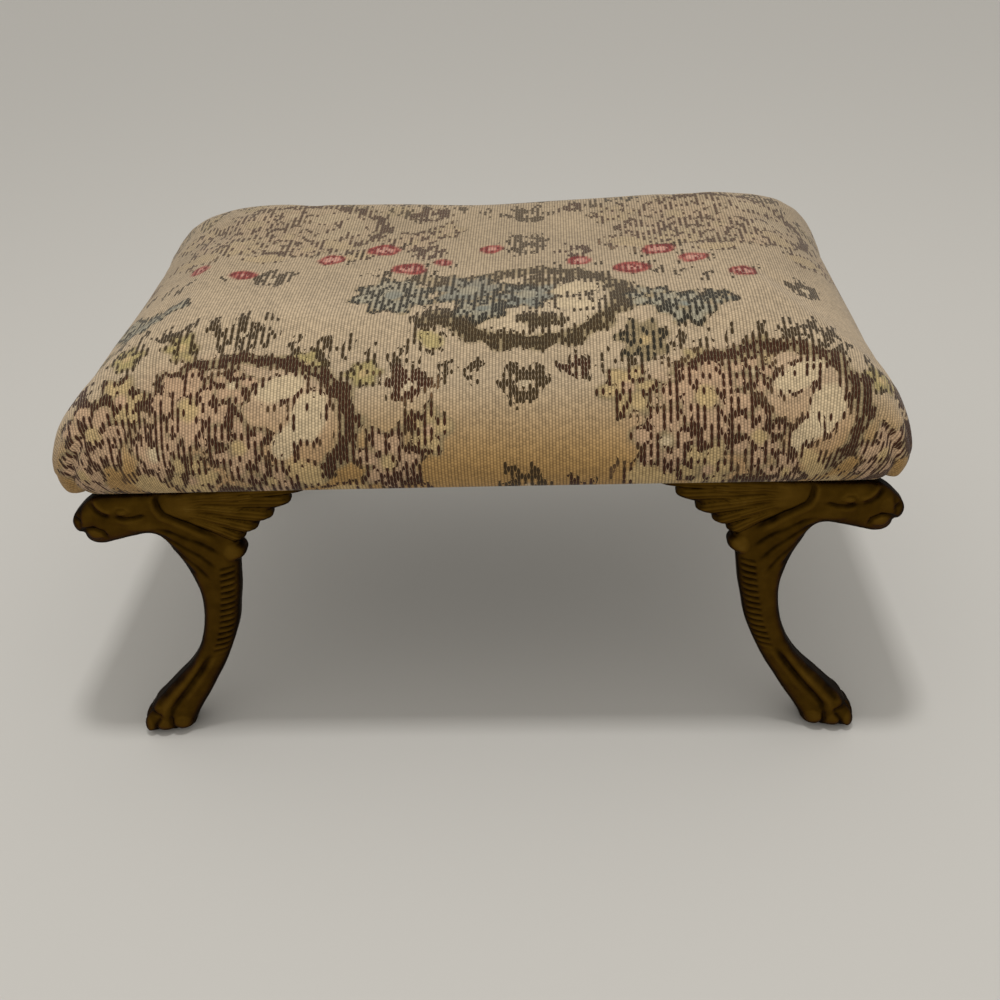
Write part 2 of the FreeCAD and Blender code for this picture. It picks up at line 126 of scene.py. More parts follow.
# materials
def fromHex(code):  # sRGB hex to linear
    parts = [int(code[place:place + 2], 16) / 255 for place in (1, 3, 5)]
    linear = (part / 12.92 if part <= 0.04045 else ((part + 0.055) / 1.055) ** 2.4 for part in parts)
    return tuple(linear) + (1.0,)


def addNode(tree, kind, links=None, inputs=None, **settings):
    node = tree.nodes.new("ShaderNode" + kind)
    for name, value in settings.items():
        setattr(node, name, value)
    for socket, value in (inputs or {}).items():
        node.inputs[socket].default_value = value
    for socket, source in (links or {}).items():  # from a socket, or from a node's first one
        output = source.outputs[0] if isinstance(source, bpy.types.Node) else source
        tree.links.new(output, node.inputs[socket])
    return node


def newMaterial(name, inputs):
    material = bpy.data.materials.new(name)
    material.use_nodes = True
    shader = material.node_tree.nodes["Principled BSDF"]
    for socket, value in inputs.items():
        shader.inputs[socket].default_value = value
    return material, material.node_tree, shader


def dress(piece, material):
    piece.data.materials.clear()
    piece.data.materials.append(material)


# camera at the photograph's angle
viewPoint = {
    "place": (0.0322, -0.4995, 0.3828),
    "yaw": 3.555,
    "pitch": 33.587,
    "roll": -3.015,
    "focalPixels": 1151.44,  # on an image 1000 pixels wide
    "imagePixels": 1000,
    "sensor": 36,
}


def setCamera():
    yaw, pitch, roll = (math.radians(viewPoint[name]) for name in ("yaw", "pitch", "roll"))
    right = Vector((math.cos(yaw), math.sin(yaw), 0))
    level = math.cos(pitch)
    ahead = Vector((-math.sin(yaw) * level, math.cos(yaw) * level, -math.sin(pitch)))
    upward = right.cross(ahead)
    turnedRight = math.cos(roll) * right + math.sin(roll) * upward
    turnedUp = math.cos(roll) * upward - math.sin(roll) * right
    bpy.ops.object.camera_add()
    camera = bpy.context.object
    turn = Matrix((turnedRight, turnedUp, -ahead)).transposed().to_4x4()
    camera.matrix_world = Matrix.Translation(viewPoint["place"]) @ turn
    camera.data.sensor_fit = "HORIZONTAL"
    camera.data.sensor_width = viewPoint["sensor"]
    camera.data.lens = viewPoint["sensor"] * viewPoint["focalPixels"] / viewPoint["imagePixels"]
    camera.data.clip_start = 0.01
    scene.camera = camera


setCamera()
print("camera set")

# floor and studio light
studio = {
    "floorColour": "#C9C6C0",
    "floorSize": 8,
    "floorRoughness": 0.7,
    "floorShine": 0.2,
    "worldColour": "#F4F2EE",
    "worldStrength": 0.76,
    "lampPower": 4.2,
    "lampSize": 0.1,
    "lampPlace": (0.0, -0.13, 1.13),
}


def setStudio():
    bpy.ops.object.select_all(action="DESELECT")
    bpy.ops.mesh.primitive_plane_add(size=studio["floorSize"])
    floor = bpy.context.object
    floor.name = "floor"
    material, _, _ = newMaterial("paleFloor", {  # matt painted floor, plain and pale
        "Base Color": fromHex(studio["floorColour"]),
        "Roughness": studio["floorRoughness"],
        "Specular IOR Level": studio["floorShine"],
    })
    dress(floor, material)
    world = bpy.data.worlds.new("studio")
    world.use_nodes = True
    sky = world.node_tree.nodes["Background"].inputs
    sky["Color"].default_value = fromHex(studio["worldColour"])
    sky["Strength"].default_value = studio["worldStrength"]
    scene.world = world
    bpy.ops.object.light_add(type="AREA", location=studio["lampPlace"])
    lamp = bpy.context.object
    lamp.data.energy = studio["lampPower"]
    lamp.data.size = studio["lampSize"]
    aim = Vector((0, lamp.location.y, 0)) - lamp.location
    lamp.rotation_euler = aim.to_track_quat("-Z", "Y").to_euler()


setStudio()
print("floor and light set")

# stuffed pad under its tapestry
padShape = {
    "halfX": 169.2,  # a little slack, because the stuffing swells it
    "halfY": 113.4,
    "corner": 12.0,
    "bottom": 131.1,
    "hem": ((3.2, 0.0), (0.9, 1.6), (0.0, 4.5)),  # inset and rise of the lowest rings
    "widest": 139.0,
    "top": 185.2,
    "roll": 53.0,  # how far in the crown starts to fall
    "crownSteps": 12,
    "drawnIn": 1.2,  # sides pull in between the corners
    "ringPoints": 128,
    "voxel": 6.0,
    "tacked": 2.5,  # held up to this height above the bottom
    "pressure": 4.0,
    "quality": 6,
    "frames": 20,
    "mostSwell": 2.4,
    "outer": (172.5, 116.0),  # half length and half depth when it is done
    "leftFuller": 0.02,  # the left end is stuffed a little fuller
    "hollow": 3.0,  # worn dip along the middle of the seat
    "hollowWidth": 85.0,
    "backRise": 2.2,  # the stuffing has crept towards the back
    "backRange": (10, 85),
    "lump": 0.35,
    "pleats": ((-6.5, 1.3), (5.0, 1.5)),  # place and depth of the folds at a corner
    "pleatInset": 7.0,
    "pleatSpread": 0.7,
    "pleatZone": (-26, -8),
    "pleatFoot": 140,
    "pleatLean": 0.10,
    "pleatWidth": 2.0,
    "pleatTop": (150, 166),  # a pleat fades out between these heights
    "tuck": 0.8,  # turned under the board
    "tuckReach": 3.2,
}


def padRing(inset, level):
    halfX, halfY = padShape["halfX"] - inset, padShape["halfY"] - inset
    corner = padShape["corner"] + 0.3 * inset
    coreX, coreY = halfX - corner, halfY - corner
    centres = [Vector(spot) for spot in ((coreX, -coreY), (coreX, coreY), (-coreX, coreY), (-coreX, -coreY))]
    straight = [2 * coreY, 2 * coreX] * 2
    bend = math.pi / 2 * corner
    total = sum(straight) + 4 * bend
    count, pull = padShape["ringPoints"], padShape["drawnIn"]
    ring = []
    for number in range(count):
        left = total * number / count
        for side in range(4):
            heading = math.pi / 2 * side
            across = Vector((math.cos(heading), math.sin(heading)))
            if left <= straight[side]:
                spot = centres[side] + across * corner + Vector((-across.y, across.x)) * left
                break
            left -= straight[side]
            if left <= bend:
                angle = heading + left / corner
                spot = centres[(side + 1) % 4] + corner * Vector((math.cos(angle), math.sin(angle)))
                break
            left -= bend
        slackX = 1 - pull / halfX * max(0.0, 1 - (spot.y / halfY) ** 2)
        slackY = 1 - pull / halfY * max(0.0, 1 - (spot.x / halfX) ** 2)
        ring.append(Vector((spot.x * slackX, spot.y * slackY, level)) * mm)
    return ring


def padRings():
    bottom, widest, top, roll = (padShape[name] for name in ("bottom", "widest", "top", "roll"))
    rings = [padRing(inset, bottom + rise) for inset, rise in padShape["hem"]] + [padRing(0.0, widest)]
    for step in range(1, padShape["crownSteps"] + 1):
        angle = math.pi / 2 * step / padShape["crownSteps"]
        rings.append(padRing(roll * (1 - math.cos(angle)), widest + (top - widest) * math.sin(angle)))
    return rings


def rawPad():
    onlySelect(None)
    bpy.ops.mesh.primitive_circle_add(vertices=padShape["ringPoints"], radius=0.1, fill_type="NGON")
    pad = bpy.context.object
    bpy.ops.object.mode_set(mode="EDIT")
    mesh = bmesh.from_edit_mesh(pad.data)
    spot = mesh.verts.layers.int.new("spot")
    rings = padRings()
    for number, vert in enumerate(mesh.verts):
        vert[spot] = number
        vert.co = rings[0][number]
    bmesh.update_edit_mesh(pad.data)
    for ring in rings[1:]:
        bpy.ops.mesh.extrude_region_move()
        mesh = bmesh.from_edit_mesh(pad.data)
        spot = mesh.verts.layers.int["spot"]
        for vert in mesh.verts:
            if vert.select:
                vert.co = ring[vert[spot]]
        bmesh.update_edit_mesh(pad.data)
    faceOutwards(pad)
    return pad


def stuffPad(pad):
    before = readPoints(pad)
    held = pad.vertex_groups.new(name="tacked")
    low = np.nonzero(before[:, 2] < padShape["bottom"] + padShape["tacked"])[0]
    held.add([int(number) for number in low], 1.0, "REPLACE")
    stuffing = pad.modifiers.new("stuffing", "CLOTH")
    stuffing.settings.quality = padShape["quality"]
    stuffing.settings.use_pressure = True
    stuffing.settings.uniform_pressure_force = padShape["pressure"]
    stuffing.settings.vertex_group_mass = "tacked"
    stuffing.settings.effector_weights.gravity = 0
    stuffing.point_cache.frame_start = 1
    stuffing.point_cache.frame_end = padShape["frames"]
    for number in range(1, padShape["frames"] + 1):
        scene.frame_set(number)
    applyModifiers(pad)
    scene.frame_set(1)
    after = readPoints(pad)
    move = after - before
    length = np.linalg.norm(move, axis=1, keepdims=True)
    most = padShape["mostSwell"]
    writePoints(pad, before + move * np.minimum(1, most / np.maximum(length, 1e-9)))
    pad.vertex_groups.clear()
    print(f"swell {length.max():.2f} mm at most, {length.mean():.2f} on average")


def wearPad(pad):
    points = readPoints(pad)
    x, y, z = points.T  # views, so each change below shows in them
    above = ramp(z, padShape["widest"], padShape["top"])
    points[:, 2] -= padShape["hollow"] * above * np.exp(-(x / padShape["hollowWidth"]) ** 2)
    points[:, 2] += padShape["backRise"] * above * ramp(y, *padShape["backRange"])
    lumps = np.sin(x / 23 + 1.3) * np.sin(y / 19 + 0.4) + 0.6 * np.sin(x / 11 + y / 14)
    points[:, 2] += padShape["lump"] * above * lumps
    normals = readNormals(pad)
    corners = [(sideX, sideY) for sideX in (-1, 1) for sideY in (-1, 1)]
    for sideX, sideY in corners:  # cloth folded into pleats at each corner
        for turn, depth in padShape["pleats"]:
            acrossX = x * sideX - padShape["halfX"] + padShape["pleatInset"] + turn * padShape["pleatSpread"]
            acrossY = y * sideY - padShape["halfY"] + padShape["pleatInset"] - turn * padShape["pleatSpread"]
            lean = (acrossX - acrossY) / math.sqrt(2) + (z - padShape["pleatFoot"]) * padShape["pleatLean"]
            atCorner = ramp(acrossX + acrossY, *padShape["pleatZone"])
            low = 1 - ramp(z, *padShape["pleatTop"])
            fold = depth * atCorner * low * np.exp(-(lean / padShape["pleatWidth"]) ** 2)
            points -= normals * fold[:, None]
    lift = points[:, 2] - padShape["bottom"]
    tucked = lift - padShape["tuck"] * np.exp(-lift / padShape["tuckReach"])
    points[:, 2] = padShape["bottom"] + np.maximum(tucked, 0)
    writePoints(pad, points)


def makePad():
    pad = rawPad()
    remesh(pad, padShape["voxel"])
    stuffPad(pad)
    rounding = pad.modifiers.new("rounding", "SUBSURF")
    rounding.levels = rounding.render_levels = 2
    applyModifiers(pad)
    points = readPoints(pad)
    points[:, :2] *= padShape["outer"] / np.abs(points[:, :2]).max(axis=0)  # remeshing drew the outline in
    points[:, 0] *= 1 + padShape["leftFuller"] * ramp(-points[:, 0], 0, 170)
    writePoints(pad, points)
    wearPad(pad)
    smoothShade(pad)
    pad.name = "stuffed_pad"
    return pad


pad = makePad()
print("pad made,", len(pad.data.polygons), "faces")

# cast legs
legShape = {
    "placeX": 100.0,
    "placeY": -102.8,
    "toeOut": 6.0,
    "height": 130.5,
    "voxel": 0.55,
    "curveSteps": 6,
    "slab": 7.0,  # half thickness before the relief is worked
    "edge": 0.34,  # share of the thickness kept at the outline
    "barbDepth": 0.42,
    "cleftDepth": 1.3,  # clefts at the front of the paw
    "cleftOff": 3.2,
    "cleftWidth": 0.9,
    "cleftFrom": (50, 57),
    "cleftTop": (10, 15),
    "cleftFoot": (-1, 1.5),
    "sole": (1.0, 14.0),  # the sole is set down on the floor between these heights
    "softenSteps": 2,
}
legPatinaAndShade = {  # how bright the finish is rubbed, from 0 to 1, with painted shade darkening it near the outline edges
    "plain": 0.24,
    "proud": 0.24,
    "crease": 0.24,
    # painted shade: the next two set how much darker the finish is painted near the outline edges, and over
    # how many millimetres
    "edge": 0.2,
    "edgeShadeWidth": 3.6,
    "most": 0.8,
}
legOutline = [  # reach outwards, height
    (-24, 130.3), (-29, 128.6), (-29.6, 126.4), (-26, 124.6), (-18.6, 123.2), (-20.2, 121.4),
    (-19.6, 119.6), (-16, 118), (-10.6, 116.6), (-12, 114.9), (-11.4, 113.2), (-8, 111.8),
    (-3.8, 110.9), (-5, 109.4), (-4.2, 107.9), (-1.4, 106.8), (1.8, 106.2), (1, 104.9), (1.8, 103.5),
    (4, 102.6), (5, 101.8), (3.2, 100.4), (1.9, 97.6), (3.2, 94.6), (5.6, 93), (6.8, 84), (7.9, 76),
    (9.6, 68), (11.3, 59.5), (14.3, 51), (17.7, 43), (21.6, 35), (26.3, 27), (31, 19),
    (36.2, 11), (38.9, 6.2), (41.2, 1.6), (44.8, 0), (62, 0), (63.6, 2.2), (63.4, 6.4), (61.6, 10.4),
    (59.4, 12.6), (57.6, 15.6), (53.3, 20), (45.6, 28), (37.8, 36), (32.3, 44), (28.7, 52.5),
    (26.4, 61), (25.2, 69), (25, 77), (26.3, 85), (28.5, 93), (31.8, 101), (35.2, 107.6),
    (39, 110), (46, 109.6), (54, 108), (60, 107), (64, 108.2), (66, 110.8), (66.2, 112.8),
    (68.6, 113.4), (70.2, 116.8), (69.4, 120.4), (66.4, 124.2), (62, 128), (57, 130.2), (46, 130.4),
    (36, 130.4), (20, 130.4),
]
legCorners = (4, 8, 12, 16, 20, 24, 37, 38, 42, 62)  # points of the outline that are sharp
legThickness = [  # reach, height, half thickness, width of the rounded edge
    (16, 75, 6.4, 5.5), (18, 60, 6.2, 5.5), (22, 47, 6.2, 5.5), (30, 35, 6.6, 6), (40, 22, 7.8, 7),
    (50, 8, 9.4, 8), (58, 6, 9, 7), (44, 4, 9.2, 7), (20, 90, 6.6, 6), (27, 103, 6.8, 6),
    (38, 119, 6.2, 6.5), (47, 119, 7.2, 8), (56, 118, 7, 8), (64, 117, 5.8, 6.5), (69, 117, 4.2, 4),
    (25, 124, 4.8, 3), (10, 122, 4, 2.6), (-8, 123, 3.4, 2.2), (-24, 127, 2.8, 2), (10, 110, 4.2, 2.6),
    (3, 104, 4, 2.4), (6.6, 97.5, 5, 4.8),
]
legFeathers = [  # root, tip, half width, how far it stands proud
    ((24, 127.6), (-26.6, 126.6), 2.9, 0.9), ((24, 124.8), (-17.4, 120.8), 2.8, 1),
    ((23, 121.8), (-9.2, 114.2), 2.7, 1.1), ((21, 118.6), (-2.4, 108.9), 2.5, 1.2),
    ((18.6, 115), (3.4, 104.6), 2.3, 1.2), ((27, 126.4), (-5, 124.4), 1.9, 1.3),
    ((26, 123.4), (1, 118.4), 1.9, 1.4), ((24.6, 120.4), (5.4, 112.6), 1.8, 1.4),
    ((22.6, 117.2), (8.6, 108.4), 1.6, 1.4),
]
legStrokes = [  # points, width, height of the ridge or depth of the groove
    ([(32.6, 131), (33.6, 127.4), (33, 123.6), (31.4, 120.4), (28, 117.8), (21.8, 113.6), (13.6, 107)],
     1, -1),
    ([(34.2, 131), (35.4, 127.4), (34.8, 123.2), (33, 119), (29, 116), (22.6, 111.8), (14.6, 104.6)],
     1, 0.7),
    ([(35, 113.4), (28, 110.6), (20, 105), (12.8, 98)], 0.9, -0.7),
    ([(35.6, 110.6), (28.4, 105.8), (21.4, 99), (15, 91.6)], 0.9, -0.6),
    ([(33.6, 105.8), (28.2, 100), (22.6, 93), (18.4, 86)], 0.8, -0.6),
    ([(31.6, 101), (27.6, 95), (24, 88.4)], 0.8, -0.5),
    ([(29.6, 96.4), (26.6, 90.4), (24.2, 83.6)], 0.7, -0.4),
    ([(30.4, 112.8), (23.4, 107.6), (16.4, 100.6)], 0.7, 0.5),
    ([(31.6, 107.6), (25, 101.8), (18.6, 94.6)], 0.7, 0.5),
    ([(30.6, 102.6), (25.4, 96.4), (20.8, 89)], 0.7, 0.4),
    ([(58.6, 129.6), (56.8, 127.2), (54.6, 125.4), (51.6, 124)], 0.9, 1),  # brow
    ([(60.6, 128), (58.2, 124.8), (55.6, 122.8), (52.4, 121.8)], 0.9, -0.6),
    ([(43.4, 123.4), (46, 126), (49.2, 126.2), (51.2, 124.2)], 0.6, 0.6),  # lid
    ([(50.8, 121.8), (47, 120.6), (43, 120.4), (38.8, 121)], 0.8, -0.8),  # crease of the cheek
    ([(50.6, 120), (47, 118.8), (43, 118.6), (39, 119.2)], 1, 0.5),
    ([(67.6, 113.4), (64.8, 115.8), (60.6, 116.6), (57, 115), (56, 111.4)], 0.8, -1),  # mouth
    ([(65, 124.6), (65.6, 120.6), (66.4, 116.4)], 0.7, -0.5),
    ([(26.4, 43), (33, 33), (40.6, 23.6), (47.4, 15.4), (49, 11)], 1, -1.1),  # tendons
    ([(29.6, 43), (36, 33.6), (43.6, 24.6), (51, 15.8), (53, 10)], 1.2, 0.7),
    ([(34.6, 39.6), (41.6, 30.8), (49.6, 22.4), (55.4, 15.6)], 0.9, -0.6),
    ([(22.8, 44), (28.6, 34.6), (35, 26), (41, 18.6)], 1, 0.5),
    ([(49, 11), (49.6, 6.4), (47.6, 0.6)], 0.9, -1),  # toes
    ([(53.6, 10.6), (57, 6.2), (57.4, 0.6)], 0.8, -0.8),
    ([(59.4, 12.6), (56, 12.4), (53, 11.6)], 0.8, -0.8),
]
legBosses = [  # reach, height, half length, half height, how far it stands proud
    (47.2, 123.8, 2.6, 1.3, 0.9), (60.4, 113.6, 4, 2.6, 0.8), (67, 120.2, 1.3, 1.3, -0.9),
    (6.6, 97.6, 4.6, 4.6, 1.1), (44.6, 6.6, 4.2, 4.8, 1), (53.4, 5.2, 3.4, 4.6, 0.9),
    (60.6, 6, 2.6, 4.4, 0.8), (56.2, 16.4, 3, 2.4, 0.8), (41, 115.4, 6, 3, 0.5),
    (63, 121.6, 3.6, 3, 0.5), (25, 122.4, 8, 6.4, 0.7),
]
legRungs = {"low": 46.0, "high": 91.0, "pitch": 3.2, "from": 1.7, "to": 7.6, "depth": 0.5}
shinEdge = slice(24, 34)  # points of the outline down the inner edge of the shin


def legHalfThickness(places, outline):
    reach, height = places.T
    gap, _ = lineDistance(places, outline)
    weights, thick, edge = 0, 0, 0
    for pointX, pointZ, half, width in legThickness:
        weight = 1 / ((reach - pointX) ** 2 + (height - pointZ) ** 2 + 4.0) ** 1.6
        weights, thick, edge = weights + weight, thick + weight * half, edge + weight * width
    thick, edge = thick / weights, edge / weights
    share = np.clip(gap / edge, 0, 1)
    keep = legShape["edge"]
    return thick * (keep + (1 - keep) * np.sqrt(1 - (1 - share) ** 2)), gap


def featherRelief(places):  # height, and the fine barbs cut into it
    proud, barbs = np.zeros(len(places)), np.zeros(len(places))
    for root, tip, half, rise in legFeathers:
        run = np.subtract(tip, root)
        length = np.linalg.norm(run)
        run = run / length
        off = places - np.asarray(root)
        along = off @ run
        across = off @ np.array([-run[1], run[0]])
        beyond = np.maximum(along - (length - half * 0.6), 0)
        rim = np.sqrt(across ** 2 + beyond ** 2) / half
        arch = np.clip(1 - rim ** 2, 0, 1) ** 0.7
        lines = 0.5 * (1 - np.cos(across / half * math.pi * 3)) * ramp(along, 2.0, 10.0)
        feather = rise * (0.35 + 0.65 * ramp(along, 0, 0.7 * length)) * arch * ramp(along, -3.0, 6.0)
        upper = (along > -3) & (rim < 1) & (feather > proud)
        proud, barbs = np.where(upper, feather, proud), np.where(upper, lines, barbs)
    return proud, barbs


def rungRelief(places):
    reach, height = places.T
    inner = sorted((level, out) for out, level in legOutline[shinEdge])
    off = reach - np.interp(height, [level for level, _ in inner], [out for _, out in inner])
    zone = ramp(off, legRungs["from"] - 0.5, legRungs["from"] + 0.5)
    zone *= 1 - ramp(off, legRungs["to"] - 0.6, legRungs["to"] + 0.6)
    zone *= ramp(height, legRungs["low"] - 5, legRungs["low"] + 3)
    zone *= 1 - ramp(height, legRungs["high"] - 1, legRungs["high"] + 1)
    wave = np.cos(2 * math.pi * (height + 0.12 * off) / legRungs["pitch"])
    return legRungs["depth"] * zone * (np.abs(wave) ** 0.6 * np.sign(wave) - 0.3)


def legRelief(places, gap):  # height, and how far a place lies in a crease
    feathers, barbs = featherRelief(places)
    rungs = rungRelief(places)
    proud = feathers - legShape["barbDepth"] * barbs + rungs
    creases = 0.8 * barbs + np.maximum(-rungs, 0)
    for line, width, rise in legStrokes:
        off, along = lineDistance(places, line)
        ends = np.clip(6 * np.minimum(along, 1 - along) + 0.25, 0, 1)
        stroke = rise * np.exp(-(off / width) ** 2) * ends
        proud += stroke
        creases += np.maximum(-stroke, 0)
    reach, height = places.T
    for pointX, pointZ, halfX, halfZ, rise in legBosses:
        off = ((reach - pointX) / halfX) ** 2 + ((height - pointZ) / halfZ) ** 2
        proud += rise * np.clip(1 - off, 0, 1) ** 0.6
    return proud * ramp(gap, 0.0, 1.2), creases


def splitToes(piece):  # two clefts at the front of the paw
    points = readPoints(piece)
    normals = readNormals(piece)
    x, y, z = points.T
    low = (1 - ramp(z, *legShape["cleftTop"])) * ramp(z, *legShape["cleftFoot"])
    zone = ramp(x, *legShape["cleftFrom"]) * low
    off = (np.abs(y) - legShape["cleftOff"]) / legShape["cleftWidth"]
    cut = legShape["cleftDepth"] * zone * np.exp(-off ** 2)
    writePoints(piece, points - normals * cut[:, None])


flange = {
    "size": (58, 32.5, 3.5),
    "middle": (0, 14.75, 128.75),
    "corner": 7,
    "screws": (-19, 0, 19),
    "screwRow": 22.5,
    "head": 3.7,  # radius of the countersink, and of the hole below
    "shank": 1.9,
    "sink": 1.8,
    "sinkLevel": 127.85,
    "bore": 8,
    "boreLevel": 129,
    "roundness": 48,
}


def flangePlate():
    onlySelect(None)
    bpy.ops.mesh.primitive_cube_add(size=1)
    plate = bpy.context.object
    plate.scale = [part * mm for part in flange["size"]]
    plate.location = [part * mm for part in flange["middle"]]
    settlePlace(plate)
    bpy.ops.object.mode_set(mode="EDIT")
    bpy.ops.mesh.select_all(action="DESELECT")
    mesh = bmesh.from_edit_mesh(plate.data)
    for edge in mesh.edges:
        ends = edge.verts[0].co - edge.verts[1].co
        edge.select = abs(ends.z) > 1 * mm
    bmesh.update_edit_mesh(plate.data)
    bpy.ops.mesh.bevel(offset=flange["corner"] * mm, segments=8, affect="EDGES")
    bpy.ops.object.mode_set(mode="OBJECT")
    row = flange["screwRow"] * mm
    for place in flange["screws"]:  # countersunk screw holes
        onlySelect(None)
        bpy.ops.mesh.primitive_cone_add(
            vertices=flange["roundness"], radius1=flange["head"] * mm, radius2=flange["shank"] * mm,
            depth=flange["sink"] * mm, location=(place * mm, row, flange["sinkLevel"] * mm))
        cutter = bpy.context.object
        bpy.ops.mesh.primitive_cylinder_add(
            vertices=flange["roundness"], radius=flange["shank"] * mm,
            depth=flange["bore"] * mm, location=(place * mm, row, flange["boreLevel"] * mm))
        bore = bpy.context.object
        for tool in (cutter, bore):
            drill = plate.modifiers.new("hole", "BOOLEAN")
            drill.object = tool
            drill.operation = "DIFFERENCE"
            drill.solver = "EXACT"
        applyModifiers(plate)
        for tool in (cutter, bore):
            bpy.data.objects.remove(tool)
    return plate


def castLeg():
    onlySelect(None)
    bpy.ops.curve.primitive_bezier_circle_add(radius=0.01)
    curve = bpy.context.object
    curve.data.dimensions = "2D"
    curve.data.resolution_u = legShape["curveSteps"]
    spline = curve.data.splines[0]
    spline.bezier_points.add(len(legOutline) - 4)
    for number, (reach, height) in enumerate(legOutline):
        point = spline.bezier_points[number]
        point.co = (reach * mm, height * mm, 0)
        point.handle_left_type = point.handle_right_type = "VECTOR" if number in legCorners else "AUTO"
    curve.data.fill_mode = "NONE"
    wire = bpy.data.meshes.new_from_object(curve)
    outline = np.array([vert.co[:2] for vert in wire.vertices]) / mm
    outline = np.vstack([outline, outline[:1]])
    bpy.data.meshes.remove(wire)
    curve.data.fill_mode = "BOTH"
    curve.data.extrude = legShape["slab"] * mm
    bpy.ops.object.convert(target="MESH")
    leg = bpy.context.object
    leg.rotation_euler.x = math.pi / 2
    settlePlace(leg)
    bpy.ops.object.mode_set(mode="EDIT")
    bpy.ops.mesh.select_all(action="SELECT")
    bpy.ops.mesh.remove_doubles(threshold=1e-6)
    bpy.ops.object.mode_set(mode="OBJECT")
    faceOutwards(leg)
    remesh(leg, legShape["voxel"])
    points = readPoints(leg)
    places = points[:, [0, 2]]
    half, gap = legHalfThickness(places, outline)
    relief, creases = legRelief(places, gap)
    points[:, 1] *= (half + relief) / legShape["slab"]
    points[:, 2] = np.clip(points[:, 2], 0, legShape["height"])
    writePoints(leg, points)
    splitToes(leg)
    soften = leg.modifiers.new("soften", "SMOOTH")
    soften.factor = 0.5
    soften.iterations = legShape["softenSteps"]
    applyModifiers(leg)
    points = readPoints(leg)
    lift = 1 - ramp(points[:, 2], *legShape["sole"])
    points[:, 2] -= points[:, 2].min() * lift
    points[:, 1] -= points[:, 0] * math.tan(math.radians(legShape["toeOut"]))
    writePoints(leg, points)
    rubbedAndEdgeShade = leg.data.attributes.new("rubbedAndEdgeShade", "FLOAT", "POINT")
    rubAndEdgeShade = legPatinaAndShade["plain"] + legPatinaAndShade["proud"] * relief - legPatinaAndShade["crease"] * creases
    # painted shade: darker within a few millimetres of the outline, where the rounded sides turn away from
    # the light
    rubAndEdgeShade -= legPatinaAndShade["edge"] * (1 - ramp(gap, 0, legPatinaAndShade["edgeShadeWidth"]))
    rubbedAndEdgeShade.data.foreach_set("value", np.clip(rubAndEdgeShade, 0, legPatinaAndShade["most"]).astype(np.float32))
    plate = flangePlate()
    onlySelect(leg)
    plate.select_set(True)
    bpy.ops.object.join()
    leg.location = (legShape["placeX"] * mm, legShape["placeY"] * mm, 0)
    settlePlace(leg)
    smoothShade(leg, 50)
    leg.name = "cast_leg_front_right"
    return leg


def mirroredLeg(leg, name, scale):
    onlySelect(leg)
    bpy.ops.object.duplicate()
    copy = bpy.context.object
    copy.name = name
    copy.scale = scale
    settlePlace(copy)
    faceOutwards(copy)
    return copy


legs = {"front_right": castLeg()}
for name, scale in (("front_left", (-1, 1, 1)), ("rear_right", (1, -1, 1)), ("rear_left", (-1, -1, 1))):
    legs[name] = mirroredLeg(legs["front_right"], "cast_leg_" + name, scale)
print("legs cast,", len(legs["front_right"].data.polygons), "faces each")

# cloth that closes the underside
dustShape = {
    "halfX": 150.8,
    "halfY": 95.05,
    "level": 130.8,
    "thick": 0.6,
    "cells": (120, 76),
    "sag": 1.6,
    "pucker": 0.25,
}


def makeDustCover():
    onlySelect(None)
    cellsX, cellsY = dustShape["cells"]
    bpy.ops.mesh.primitive_grid_add(x_subdivisions=cellsX, y_subdivisions=cellsY, size=1)
    sheet = bpy.context.object
    sheet.name = "dust_cover_cloth"
    sheet.scale = (2 * dustShape["halfX"] * mm, 2 * dustShape["halfY"] * mm, 1)
    sheet.location.z = dustShape["level"] * mm
    settlePlace(sheet)
    points = readPoints(sheet)
    x, y, _ = points.T
    middle = (1 - (x / dustShape["halfX"]) ** 2) * (1 - (y / dustShape["halfY"]) ** 2)
    points[:, 2] -= dustShape["sag"] * ramp(middle, 0.25, 1.0)
    waves = np.sin(x / 9 + 0.6 * np.sin(y / 21)) * np.sin(y / 31 + 1)
    points[:, 2] -= dustShape["pucker"] * ramp(middle, 0.2, 0.5) * waves
    writePoints(sheet, points)
    thickness = sheet.modifiers.new("thickness", "SOLIDIFY")
    thickness.thickness = dustShape["thick"] * mm
    thickness.offset = 0
    applyModifiers(sheet)
    smoothShade(sheet, 40)
    return sheet


dustCover = makeDustCover()
print("dust cover made")

# tapestry: wreaths and roses woven into a ribbed ground, drawn in cloth places
# a cloth place is (s, t): millimetres along the cloth, across and front to back, from the middle
clothShape = {
    "rib": 1.3,  # warp ribs
    "pick": 3.3,  # length of one dash of pattern thread
    "bead": 1.15,  # weft crossing the ribs
    "slip": 0.3,  # share of a dash by which the ribs differ
    "soonest": 0.12,  # share of pattern at which the first dashes show
    "oddLater": 0.24,  # every other rib joins later
    "chance": 0.6,
    "dashHalf": 0.46,  # half width of a dash, in ribs
    "dashTaper": -1.5,
    "runOn": 0.5,  # how pointed a dash is where the next one follows
    "repeatAcross": 205.0,
    "repeatAlong": 151.0,
    "blueAcross": 231.0,  # drawn out more where the cloth is pulled over the ends
    "blueSkew": -9.0,  # the cloth was laid a little askew
    "blueWreath": (15.0, -47.0),
    "brownWreath": (-93.0, 35.0),
    "fade": 0.01,
    "fadeBack": 0.09,  # the back of the seat has faded more than the front
    "fadeRange": (-75, 25),
    "groundFade": 8,  # times as much as the pattern's own thread
    "shareFade": 1.6,
    "goldFrom": (98, 136),  # the ground turns gold down the front
}
threads = {
    "ground": "#A99579", "gold": "#9A7846", "worn": "#B5A284", "dull": "#968368",
    "olive": "#33240B", "umber": "#331400", "brown": "#5E452C", "slate": "#1F1A0E",
    "rose": "#AE8F71", "cream": "#BCA886", "straw": "#B0976A", "blue": "#6C7067", "paleBlue": "#8C8774",
    "red": "#8A3E34", "pink": "#AC7B6A", "crimson": "#671A14", "mustard": "#9A8A58", "leaf": "#7F6F50",
}


